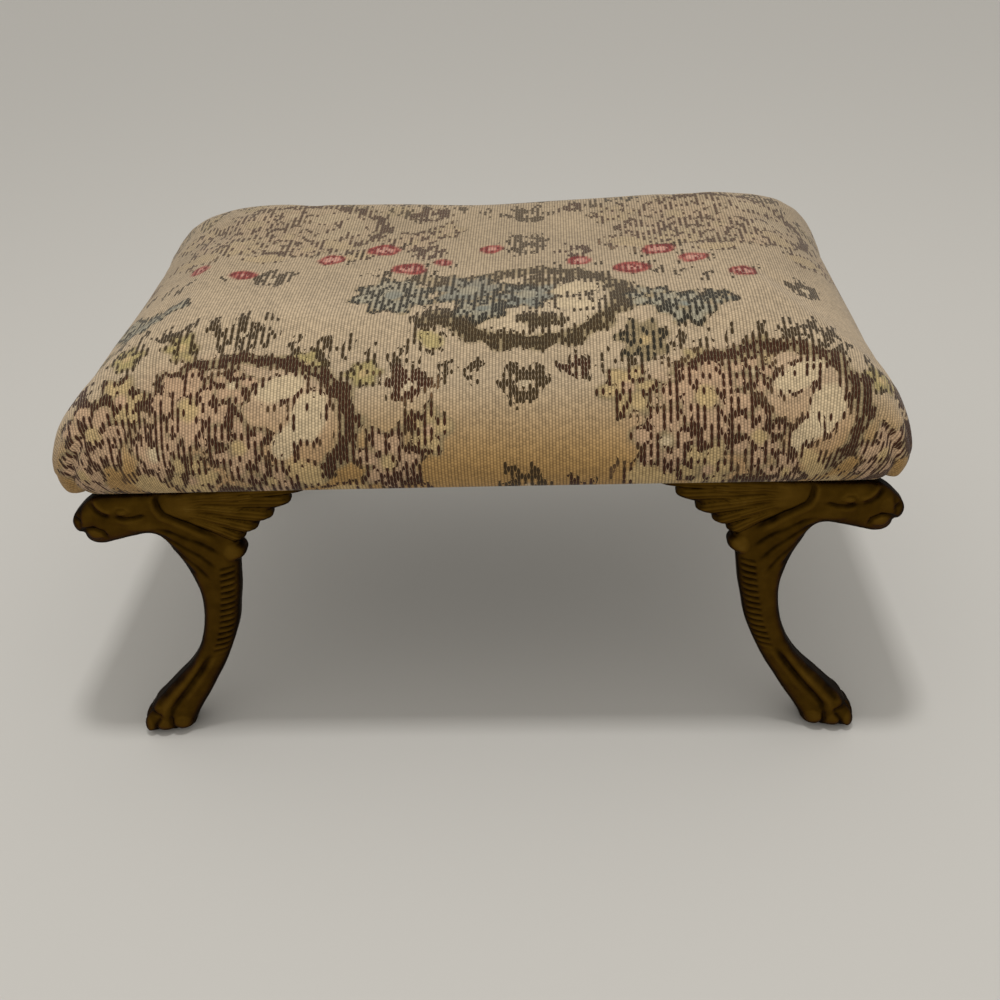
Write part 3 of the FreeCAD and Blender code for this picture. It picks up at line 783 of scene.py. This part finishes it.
def clothPlaces(points):
    x, y, z = points.T
    roll, widest, top = padShape["roll"], padShape["widest"], padShape["top"]
    angle = np.linspace(0, math.pi / 2, 200)
    outs, drops = roll * np.sin(angle), (top - widest) * (1 - np.cos(angle))
    arc = np.concatenate([[0], np.cumsum(np.hypot(np.diff(outs), np.diff(drops)))])
    coreX = np.clip(x, -(padShape["halfX"] - roll), padShape["halfX"] - roll)
    coreY = np.clip(y, -(padShape["halfY"] - roll), padShape["halfY"] - roll)
    away = (np.abs(x - coreX) ** 8 + np.abs(y - coreY) ** 8) ** 0.125  # square corners, as cloth is folded
    steep = ramp(away / roll, 0.45, 0.8)
    length = (1 - steep) * np.interp(away, outs, arc) + steep * np.interp(top - z, drops, arc)
    length = np.where(away > 0.3, length + np.maximum(widest - z, 0), 0)
    under = (z < padShape["bottom"] + 0.8) & (away < roll - 2)
    length = np.where(under, arc[-1] + 10 + roll - away, length)
    share = length / np.maximum(away, 1e-6)
    return coreX + (x - coreX) * share, coreY + (y - coreY) * share


def threadColour(name):
    return np.array(fromHex(threads[name])[:3])


def layThread(paint, edge, tone=None, dash=None, share=None, strength=1.0, soft=1.5):
    mask = np.clip(0.5 + edge / soft, 0, 1) * strength
    if tone:
        paint["ground"] += mask[:, None] * (threadColour(tone) - paint["ground"])
    if dash:
        paint["dash"] += mask[:, None] * (threadColour(dash) - paint["dash"])
    if share is not None:  # a wide edge, so that each rib ends at a place of its own
        ragged = np.clip(0.5 + edge / (soft + 2.0), 0, 1) * strength
        paint["share"] += ragged * (share - paint["share"])


def spotEdge(paint, s, t, halfS, halfT, turn=0.0):
    offS, offT = paint["s"] - s, paint["t"] - t
    cos, sin = math.cos(math.radians(turn)), math.sin(math.radians(turn))
    rim = np.sqrt(((offS * cos + offT * sin) / halfS) ** 2 + ((offT * cos - offS * sin) / halfT) ** 2)
    return (1 - rim) * min(halfS, halfT) + paint["wobble"]


def ringEdge(paint, s, t, halfS, halfT, width, scallops=0, gap=None):
    offS, offT = (paint["s"] - s) / halfS, (paint["t"] - t) / halfT
    heading = np.degrees(np.arctan2(offT, offS)) % 360
    rim = (np.hypot(offS, offT) - 1) * min(halfS, halfT)
    wide = width / 2 * (1 + (0.28 * np.cos(np.radians(heading) * scallops) * (rim > 0) if scallops else 0))
    edge = wide - np.abs(rim) + paint["wobble"]
    if gap:  # headings between which the ring is left open
        edge = np.where((heading > gap[0]) & (heading < gap[1]), -9, edge)
    return edge


def bandEdge(paint, line, width):
    off, _ = lineDistance(np.stack([paint["s"], paint["t"]], 1), line)
    return width / 2 - off + paint["wobble"]


def laySpot(paint, s, t, halfS, halfT, turn=0.0, **thread):
    layThread(paint, spotEdge(paint, s, t, halfS, halfT, turn), **thread)


def stepOff(s, t, far, turn):
    return s + far * math.cos(math.radians(turn)), t + far * math.sin(math.radians(turn))


def layPetal(paint, s, t, length, width, turn, tone, dash, fill, line):
    laySpot(paint, s, t, length + line, width + line, turn, dash=dash, share=0.95)
    laySpot(paint, s, t, length, width, turn, tone=tone, share=fill, strength=0.9)


def layRosette(paint, s, t, size, count, tone, heart, dash, fill):
    first = 17 * size  # so that each size is turned differently
    heading = np.arctan2(paint["t"] - t, paint["s"] - s) - math.radians(first)
    rim = spotEdge(paint, s, t, size, size) + 0.17 * size * np.cos(count * heading)
    layThread(paint, rim, tone="leaf", dash=dash, share=0.86, strength=0.9)
    for number in range(count):
        turn = 360 / count * number + first
        petalS, petalT = stepOff(s, t, 0.6 * size, turn)
        layPetal(paint, petalS, petalT, 0.38 * size, 0.25 * size, turn, tone, dash, 0.75 * fill, 0.6)
    laySpot(paint, s, t, 0.24 * size, 0.24 * size, tone=heart, dash=dash, share=0.15)


def layLeaves(paint, line, size, dash, share, gap):
    layThread(paint, bandEdge(paint, line, 1.2), dash=dash, share=0.62)
    lengths = np.linalg.norm(np.diff(line, axis=0), axis=1)
    starts = np.concatenate([[0], np.cumsum(lengths)])
    for number in range(int(starts[-1] / gap)):
        along = (number + 0.6) * gap
        part = min(np.searchsorted(starts, along, "right") - 1, len(lengths) - 1)
        run = (line[part + 1] - line[part]) / lengths[part]
        spot = line[part] + run * (along - starts[part])
        heading = math.degrees(math.atan2(run[1], run[0]))
        for turn in (heading - 55, heading + 55):
            leafS, leafT = stepOff(*spot, 0.75 * size, turn)
            laySpot(paint, leafS, leafT, 0.62 * size, 0.3 * size, turn, dash=dash, share=share)


def laySprig(paint, s, t, size, dash, tilt):
    for turn, reach in ((90, 1.0), (145, 0.9), (35, 0.9), (200, 0.7), (340, 0.7), (270, 0.6)):
        leafS, leafT = stepOff(s, t, 0.6 * size * reach, turn + tilt)
        laySpot(paint, leafS, leafT, 0.5 * size * reach, 0.27 * size, turn + tilt, dash=dash, share=0.9)
    laySpot(paint, s, t, 0.16 * size, 0.16 * size, tone="worn", share=0.1)


def layRose(paint, s, t, size):
    for side, drop in ((1.7, -0.6), (-1.6, -0.8), (1.4, 1.0)):
        leafS, leafT = s + size * side, t + size * drop
        laySpot(paint, leafS, leafT, 0.6 * size, 0.34 * size, 35 * side, dash="olive", share=0.55)
    laySpot(paint, s, t, 1.15 * size, size, tone="red", dash="crimson", share=0.66, soft=0.8)
    laySpot(paint, s, t, 0.7 * size, 0.55 * size, tone="pink", dash="crimson", share=0.44, soft=1.0)


def layRoses(paint, s, t):
    for offS, offT, size in (
            (-62, 55.5, 6.6), (-48, 32.5, 6.6), (-34, 40.5, 4.0), (-12, 54.5, 4.8), (28, 36.5, 5.2),
            (51, 25.5, 6.6), (64, 45.5, 6.2), (78, 33.5, 5.2), (98, 15.5, 5.2), (-85, 44.5, 5.2),
            (-122, 26.5, 5.2), (-145, 38.5, 4.6)):
        layRose(paint, s + offS, t + offT, size)


def layBlueWreath(paint, s, t):
    for size, points in (
            (6.0, [(-128, -28), (-100, -33), (-66, -35), (-38, -42), (-8, -50)]),
            (6.0, [(18, -50), (46, -43), (70, -36), (98, -34), (132, -28)]),
            (4.5, [(-70, 26), (-52, 30), (-36, 24)]), (4.5, [(44, 26), (62, 22), (84, 12)])):
        layLeaves(paint, np.add(points, (s, t)), size, "olive", 0.88, 10.5)
    laySpot(paint, s + 6, t, 36, 31, tone="worn", share=0.02, strength=0.5)
    outer = ringEdge(paint, s + 6, t - 2.8, 39, 30.2, 8, 17, (158, 205))
    layThread(paint, outer, tone="leaf", dash="olive", share=0.95, strength=0.95)
    layThread(paint, ringEdge(paint, s + 6, t - 2.8, 33, 24.7, 1.6), dash="olive", share=0.7)
    for offS, offT, size, count, tone, heart, fill in (
            (-52, 4, 17, 8, "paleBlue", "blue", 0.62), (-20, 9, 16, 7, "blue", "paleBlue", 0.55),
            (-14, -10, 12, 6, "paleBlue", "blue", 0.6), (5, 3, 14, 7, "blue", "paleBlue", 0.5),
            (70, -15, 12, 8, "paleBlue", "blue", 0.62), (56, -6, 10, 6, "paleBlue", "leaf", 0.4),
            (52, -34, 10, 7, "leaf", "straw", 0.4), (84, -9, 7, 5, "paleBlue", "blue", 0.5)):
        layRosette(paint, s + offS, t + offT, size, count, tone, heart, "slate", fill)
    for offS, offT, length, width, turn, tone in (
            (26, 6, 11, 6.5, 20, "cream"), (24, -8, 10, 5.5, -25, "cream"), (12, 17, 9, 3.4, 10, "leaf"),
            (10, -20, 9, 3.4, -12, "leaf"), (-34, -16, 8, 4, 40, "leaf"), (-38, 20, 8, 4, -30, "leaf"),
            (-34, -30, 7, 3.5, -40, "mustard")):
        fill = 0.7 if tone == "leaf" else 0.06
        layPetal(paint, s + offS, t + offT, length, width, turn, tone, "olive", fill, 2.2)
    for offS, offT, size in ((5, -56, 14), (5, -98, 12), (5, 62, 13), (-107, 20, 12), (121, -35, 10)):
        laySprig(paint, s + offS, t + offT, size, "olive", 7 * offS % 40)
    for offS, offT in ((-83, -43), (-60, -48), (72, -46), (96, -43)):
        layRosette(paint, s + offS, t + offT, 7.5, 6, "mustard", "straw", "olive", 0.2)


def layBrownWreath(paint, s, t):
    for points in (
            [(-60, -14), (-48, -32), (-24, -40)],
            [(56, -12), (46, -30), (22, -40)],
            [(52, 22), (66, 12), (80, 12)]):
        layLeaves(paint, np.add(points, (s, t)), 5.4, "brown", 0.72, 9.5)
    laySpot(paint, s - 6, t, 46, 32, tone="rose", dash="brown", share=0.22, strength=0.45, soft=8)
    outer = ringEdge(paint, s + 2, t, 41, 29, 6.5, 15, (150, 250))
    layThread(paint, outer, tone="leaf", dash="umber", share=0.86, strength=0.95)
    for offS, offT, size, count, tone, heart, fill in (
            (-22, 6, 18, 8, "rose", "straw", 0.4), (-2, -9, 12, 6, "rose", "straw", 0.36),
            (-38, -10, 13, 7, "rose", "cream", 0.42), (-4, 16, 9, 5, "rose", "cream", 0.2),
            (-52, 10, 11, 6, "straw", "rose", 0.25), (-22, -22, 11, 6, "straw", "rose", 0.15),
            (10, -24, 10, 6, "rose", "straw", 0.3), (58, -16, 13, 7, "rose", "straw", 0.3),
            (74, -4, 9, 5, "straw", "rose", 0.3)):
        layRosette(paint, s + offS, t + offT, size, count, tone, heart, "umber", fill)
    for offS, offT, length, width, turn, tone in (
            (16, 14, 11, 6, 25, "cream"), (27, 2, 7, 10, -10, "cream"), (18, -8, 8, 5, 50, "cream"),
            (24, -20, 9, 5, -35, "straw"), (-44, -26, 12, 6, -20, "straw"), (36, -32, 12, 5, 25, "straw"),
            (-8, -36, 10, 4.5, 5, "straw")):
        layPetal(paint, s + offS, t + offT, length, width, turn, tone, "umber", 0.05, 1.6)
    for offS, offT, size in ((66, 14, 12), (-72, 20, 8), (68, -30, 11), (-70, -34, 10)):
        laySprig(paint, s + offS, t + offT, size, "umber", 11 * offS % 50)


def paintTapestry(pad):
    s, t = clothPlaces(readPoints(pad))
    count = len(s)
    wobble = 0.7 * np.sin(s / 2.3 + 1.7 * np.sin(t / 5.1)) * np.sin(t / 3.7 + 0.8)
    wobble = wobble + 0.5 * np.sin(s / 5.7 - t / 4.3)
    front = ramp(-t, *clothShape["goldFrom"])
    ground = threadColour("ground") + front[:, None] * (threadColour("gold") - threadColour("ground"))
    dash = np.tile(threadColour("olive"), (count, 1))
    paint = {"s": s, "t": t, "wobble": wobble, "ground": ground, "dash": dash, "share": np.zeros(count)}
    blueS, blueT = clothShape["blueWreath"]
    brownS, brownT = clothShape["brownWreath"]
    along = clothShape["repeatAlong"]
    for column in (-1, 0, 1):
        across, skew = clothShape["blueAcross"] * column, clothShape["blueSkew"] * column
        for row in (0, 1):
            layBlueWreath(paint, blueS + across, blueT + along * row + skew)
    for column in (0, 1):
        for row in (-1, 0):
            layBrownWreath(paint, brownS + clothShape["repeatAcross"] * column, brownT + along * row)
    for cornerS, cornerT, size in ((-159, -118, 15), (-173, -134, 12)):  # a flower goes round the left corner
        layRosette(paint, cornerS, cornerT, size, 7, "rose", "straw", "umber", 0.45)
    laySpot(paint, 186, -118, 8, 10, tone="brown", dash="umber", share=0.9)  # dark patch at the right corner
    faded = clothShape["fade"] + clothShape["fadeBack"] * ramp(t, *clothShape["fadeRange"])
    paint["dash"] += faded[:, None] * (threadColour("ground") - paint["dash"])
    paint["ground"] += clothShape["groundFade"] * faded[:, None] * (threadColour("dull") - paint["ground"])
    paint["share"] *= 1 - clothShape["shareFade"] * faded
    for row in (0, 1):
        layRoses(paint, blueS, blueT + along * row)
    opaque = np.ones((count, 1))
    for name, kind, key, values in (
            ("clothPlace", "FLOAT_VECTOR", "vector", np.stack([s, t, 0 * s], 1)),
            ("groundThread", "FLOAT_COLOR", "color", np.hstack([paint["ground"], opaque])),
            ("dashThread", "FLOAT_COLOR", "color", np.hstack([paint["dash"], opaque])),
            ("dashShare", "FLOAT", "value", paint["share"])):
        layer = pad.data.attributes.new(name, kind, "POINT")
        layer.data.foreach_set(key, values.astype(np.float32).ravel())


paintTapestry(pad)
print("tapestry drawn")


def weaveTapestry():
    # jacquard woven wool and cotton rep: matt, ribbed front to back, pattern in short dashes of thread, with
    # painted shade in the gaps between ribs and beads
    material, tree, shader = newMaterial("wovenTapestry", {
        "Roughness": 0.88, "Specular IOR Level": 0.2, "Sheen Weight": 0.12, "Sheen Roughness": 0.5})
    place = addNode(tree, "Attribute", attribute_name="clothPlace")
    split = addNode(tree, "SeparateXYZ", {"Vector": place.outputs["Vector"]})
    ribs = addNode(tree, "Math", {0: split.outputs["X"]}, {1: clothShape["rib"]}, operation="DIVIDE")
    rib = addNode(tree, "Math", {0: ribs}, operation="FLOOR")
    odd = addNode(tree, "Math", {0: rib}, {1: 2.0}, operation="FLOORED_MODULO")
    ribPart = addNode(tree, "Math", {0: ribs}, operation="FRACT")
    ribMiddle = addNode(tree, "Math", {0: ribPart}, {1: 0.5}, operation="SUBTRACT")
    ribOff = addNode(tree, "Math", {0: ribMiddle}, operation="ABSOLUTE")
    slip = addNode(tree, "TexWhiteNoise", {"W": rib}, noise_dimensions="1D")
    picks = addNode(tree, "Math", {0: split.outputs["Y"]}, {1: clothShape["pick"]}, operation="DIVIDE")
    picks = addNode(tree, "Math", {0: odd, 2: picks}, {1: 0.5}, operation="MULTIPLY_ADD")
    picks = addNode(tree, "Math", {0: slip, 2: picks}, {1: clothShape["slip"]}, operation="MULTIPLY_ADD")
    pick = addNode(tree, "Math", {0: picks}, operation="FLOOR")
    pickPart = addNode(tree, "Math", {0: picks}, operation="FRACT")
    pickOff = addNode(tree, "Math", {0: pickPart}, {1: 0.5}, operation="SUBTRACT")
    step = addNode(tree, "Math", {0: pickOff}, operation="SIGN")
    nextPick = addNode(tree, "Math", {0: pick, 1: step}, operation="ADD")
    joins = {1: clothShape["oddLater"], 2: clothShape["soonest"]}
    start = addNode(tree, "Math", {0: odd}, joins, operation="MULTIPLY_ADD")
    doubts = []
    for number in (pick, nextPick):  # for this dash, and for the one it runs into
        cell = addNode(tree, "CombineXYZ", {"X": rib, "Y": number})
        dice = addNode(tree, "TexWhiteNoise", {"Vector": cell}, noise_dimensions="2D")
        chance = {1: clothShape["chance"]}
        doubts.append(addNode(tree, "Math", {0: dice, 2: start}, chance, operation="MULTIPLY_ADD"))
    share = addNode(tree, "Attribute", attribute_name="dashShare").outputs["Fac"]
    woven = addNode(tree, "Math", {0: share, 1: doubts[0]}, operation="GREATER_THAN")
    nextBare = addNode(tree, "Math", {0: share, 1: doubts[1]}, operation="LESS_THAN")
    runOn = {1: 1 - clothShape["runOn"], 2: clothShape["runOn"]}
    ending = addNode(tree, "Math", {0: nextBare}, runOn, operation="MULTIPLY_ADD")
    pickSquare = addNode(tree, "Math", {0: pickOff, 1: pickOff}, operation="MULTIPLY")
    taper = addNode(tree, "Math", {0: pickSquare, 1: ending}, operation="MULTIPLY")  # most where a dash ends
    widths = {1: clothShape["dashTaper"], 2: clothShape["dashHalf"]}
    dashWidth = addNode(tree, "Math", {0: taper}, widths, operation="MULTIPLY_ADD")
    inDash = addNode(tree, "Math", {0: ribOff, 1: dashWidth}, operation="LESS_THAN")
    dash = addNode(tree, "Math", {0: woven, 1: inDash}, operation="MULTIPLY")
    ground = addNode(tree, "Attribute", attribute_name="groundThread")
    pattern = addNode(tree, "Attribute", attribute_name="dashThread")
    colour = addNode(tree, "Mix", {0: dash, 6: ground, 7: pattern}, data_type="RGBA")
    ribSquare = addNode(tree, "Math", {0: ribOff, 1: ribOff}, operation="MULTIPLY")
    ribHump = addNode(tree, "Math", {0: ribSquare}, {1: -4.0, 2: 1.0}, operation="MULTIPLY_ADD")
    beads = addNode(tree, "Math", {0: split.outputs["Y"]}, {1: clothShape["bead"]}, operation="DIVIDE")
    beads = addNode(tree, "Math", {0: odd, 2: beads}, {1: 0.5}, operation="MULTIPLY_ADD")  # laid like bricks
    beadTurn = addNode(tree, "Math", {0: beads}, {1: math.pi}, operation="MULTIPLY")
    beadWave = addNode(tree, "Math", {0: beadTurn}, operation="SINE")
    beadHump = addNode(tree, "Math", {0: beadWave}, operation="ABSOLUTE")
    bead = addNode(tree, "Math", {0: beadHump}, {1: 0.5, 2: 0.5}, operation="MULTIPLY_ADD")
    thread = addNode(tree, "Math", {0: ribHump, 1: bead}, operation="MULTIPLY")
    beadNumber = addNode(tree, "Math", {0: beads}, operation="FLOOR")
    stitch = addNode(tree, "CombineXYZ", {"X": rib, "Y": beadNumber})
    slub = addNode(tree, "TexWhiteNoise", {"Vector": stitch}, noise_dimensions="2D")  # paler stitches
    coords = addNode(tree, "TexCoord").outputs["Object"]
    patches = {"Scale": 38.0, "Detail": 3.0}  # about 25 mm wide
    wear = addNode(tree, "TexNoise", {"Vector": coords}, patches)
    # painted shade: the value falls to a fifth in the gaps between ribs and between beads, and the rib crowns
    # are painted a little lighter; the paler stitches and worn patches added next are the cloth's own
    shadedLightness = addNode(tree, "Math", {0: thread}, {1: 0.86, 2: 0.2}, operation="MULTIPLY_ADD")
    shadedLightness = addNode(tree, "Math", {0: slub, 2: shadedLightness}, {1: 0.32}, operation="MULTIPLY_ADD")
    shadedLightness = addNode(tree, "Math", {0: wear, 2: shadedLightness}, {1: 0.34}, operation="MULTIPLY_ADD")
    tone = addNode(tree, "HueSaturation", {"Color": colour.outputs[2], "Value": shadedLightness})
    tree.links.new(tone.outputs["Color"], shader.inputs["Base Color"])
    height = addNode(tree, "Math", {0: dash, 2: thread}, {1: -0.35}, operation="MULTIPLY_ADD")
    bump = addNode(tree, "Bump", {"Height": height}, {"Strength": 0.6, "Distance": 0.35 * mm})
    tree.links.new(bump.outputs["Normal"], shader.inputs["Normal"])
    return material


def patinateBronze():
    # bronzed spelter casting: dark brown lacquer, near black in the hollows, rubbed lighter where proud, and
    # painted shade darkening it near the outline edges
    material, tree, shader = newMaterial("bronzedCasting", {
        "Metallic": 0.85, "Specular Tint": fromHex("#6A5430")})  # the tint keeps the edges from shining
    coords = addNode(tree, "TexCoord").outputs["Object"]
    # the rubbing read here also carries painted shade near the outline edges
    rubWithEdgeShade = addNode(tree, "Attribute", attribute_name="rubbedAndEdgeShade").outputs["Fac"]
    clouds = {"Scale": 160.0, "Detail": 4.0}  # about 6 mm wide
    mottle = addNode(tree, "TexNoise", {"Vector": coords}, clouds)
    level = addNode(tree, "Math", {0: mottle, 2: rubWithEdgeShade}, {1: 0.42}, operation="MULTIPLY_ADD")
    colours = addNode(tree, "ValToRGB", {"Fac": level})
    stops = colours.color_ramp.elements
    stops[0].position, stops[0].color = 0.12, fromHex("#170D01")
    stops[1].position, stops[1].color = 1.0, fromHex("#7A602A")
    for position, code in ((0.45, "#46310A"), (0.72, "#5C4314")):
        stops.new(position).color = fromHex(code)
    tree.links.new(colours.outputs["Color"], shader.inputs["Base Color"])
    sand = {"Scale": 900.0, "Detail": 3.0}  # grain of the mould, about 1 mm
    grain = addNode(tree, "TexNoise", {"Vector": coords}, sand)
    gloss = addNode(tree, "MapRange", {"Value": grain}, {"To Min": 0.26, "To Max": 0.46})
    tree.links.new(gloss.outputs["Result"], shader.inputs["Roughness"])
    bump = addNode(tree, "Bump", {"Height": grain}, {"Strength": 0.25, "Distance": 0.15 * mm})
    tree.links.new(bump.outputs["Normal"], shader.inputs["Normal"])
    return material


def weaveDustCloth():
    # thin black cotton cambric: plain weave, matt
    material, tree, shader = newMaterial("blackCambric", {"Roughness": 0.95})
    coords = addNode(tree, "TexCoord").outputs["Object"]
    yarn = {"Scale": 260.0, "Distortion": 1.5}  # threads about 1.2 mm, drawn coarse to show
    warp = addNode(tree, "TexWave", {"Vector": coords}, yarn, bands_direction="X").outputs["Fac"]
    weft = addNode(tree, "TexWave", {"Vector": coords}, yarn, bands_direction="Y").outputs["Fac"]
    weave = addNode(tree, "Math", {0: warp, 1: weft}, operation="MULTIPLY")
    colours = addNode(tree, "ValToRGB", {"Fac": weave})
    colours.color_ramp.elements[0].color = fromHex("#1B1917")
    colours.color_ramp.elements[1].color = fromHex("#3A3733")
    tree.links.new(colours.outputs["Color"], shader.inputs["Base Color"])
    bump = addNode(tree, "Bump", {"Height": weave}, {"Strength": 0.4, "Distance": 0.2 * mm})
    tree.links.new(bump.outputs["Normal"], shader.inputs["Normal"])
    return material


def sawnPine():
    # sawn softwood: pale, with darker late wood lines along the board
    material, tree, shader = newMaterial("sawnPine", {"Roughness": 0.75})
    coords = addNode(tree, "TexCoord").outputs["Object"]
    stretch = addNode(tree, "Mapping", {"Vector": coords}, {"Scale": (0.08, 1.0, 1.0)})
    lines = {"Scale": 35.0, "Distortion": 4.0, "Detail": 2.0}  # about 9 mm apart
    rings = addNode(tree, "TexWave", {"Vector": stretch}, lines, bands_direction="Y")
    colours = addNode(tree, "ValToRGB", {"Fac": rings.outputs["Fac"]})
    colours.color_ramp.elements[0].color = fromHex("#C9A56C")
    colours.color_ramp.elements[1].color = fromHex("#DFC595")
    tree.links.new(colours.outputs["Color"], shader.inputs["Base Color"])
    return material


def bluedSteel(name, dark, light, rough):
    # drawn steel wire and sheet: blued or dulled, with a little tarnish
    material, tree, shader = newMaterial(name, {"Metallic": 1.0, "Roughness": rough})
    coords = addNode(tree, "TexCoord").outputs["Object"]
    spots = {"Scale": 700.0, "Detail": 3.0}  # about 1.5 mm wide
    tarnish = addNode(tree, "TexNoise", {"Vector": coords}, spots)
    colours = addNode(tree, "ValToRGB", {"Fac": tarnish})
    colours.color_ramp.elements[0].color = fromHex(dark)
    colours.color_ramp.elements[1].color = fromHex(light)
    tree.links.new(colours.outputs["Color"], shader.inputs["Base Color"])
    return material


dress(pad, weaveTapestry())
castFinish = patinateBronze()
for leg in legs.values():
    dress(leg, castFinish)
dress(dustCover, weaveDustCloth())
finishes = {
    "seat_board": sawnPine(),
    "tacks": bluedSteel("bluedTackSteel", "#23252B", "#4A4E58", 0.45),
    "screws": bluedSteel("dullScrewSteel", "#6E6C68", "#A09D96", 0.4),
}
for name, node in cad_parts.items():
    for word, material in finishes.items():
        if word in name:
            for slot in node.material_slots:
                slot.material = material
print("materials set")

# what rides and what is replaced
for name, leg in legs.items():
    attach(leg, "root")
    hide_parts("leg_" + name)
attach(pad, "root")
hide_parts("tapestry_cover", "wadding", "undercover", "stuffing")
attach(dustCover, "root")
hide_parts("dust_cover")

print("stool finished")
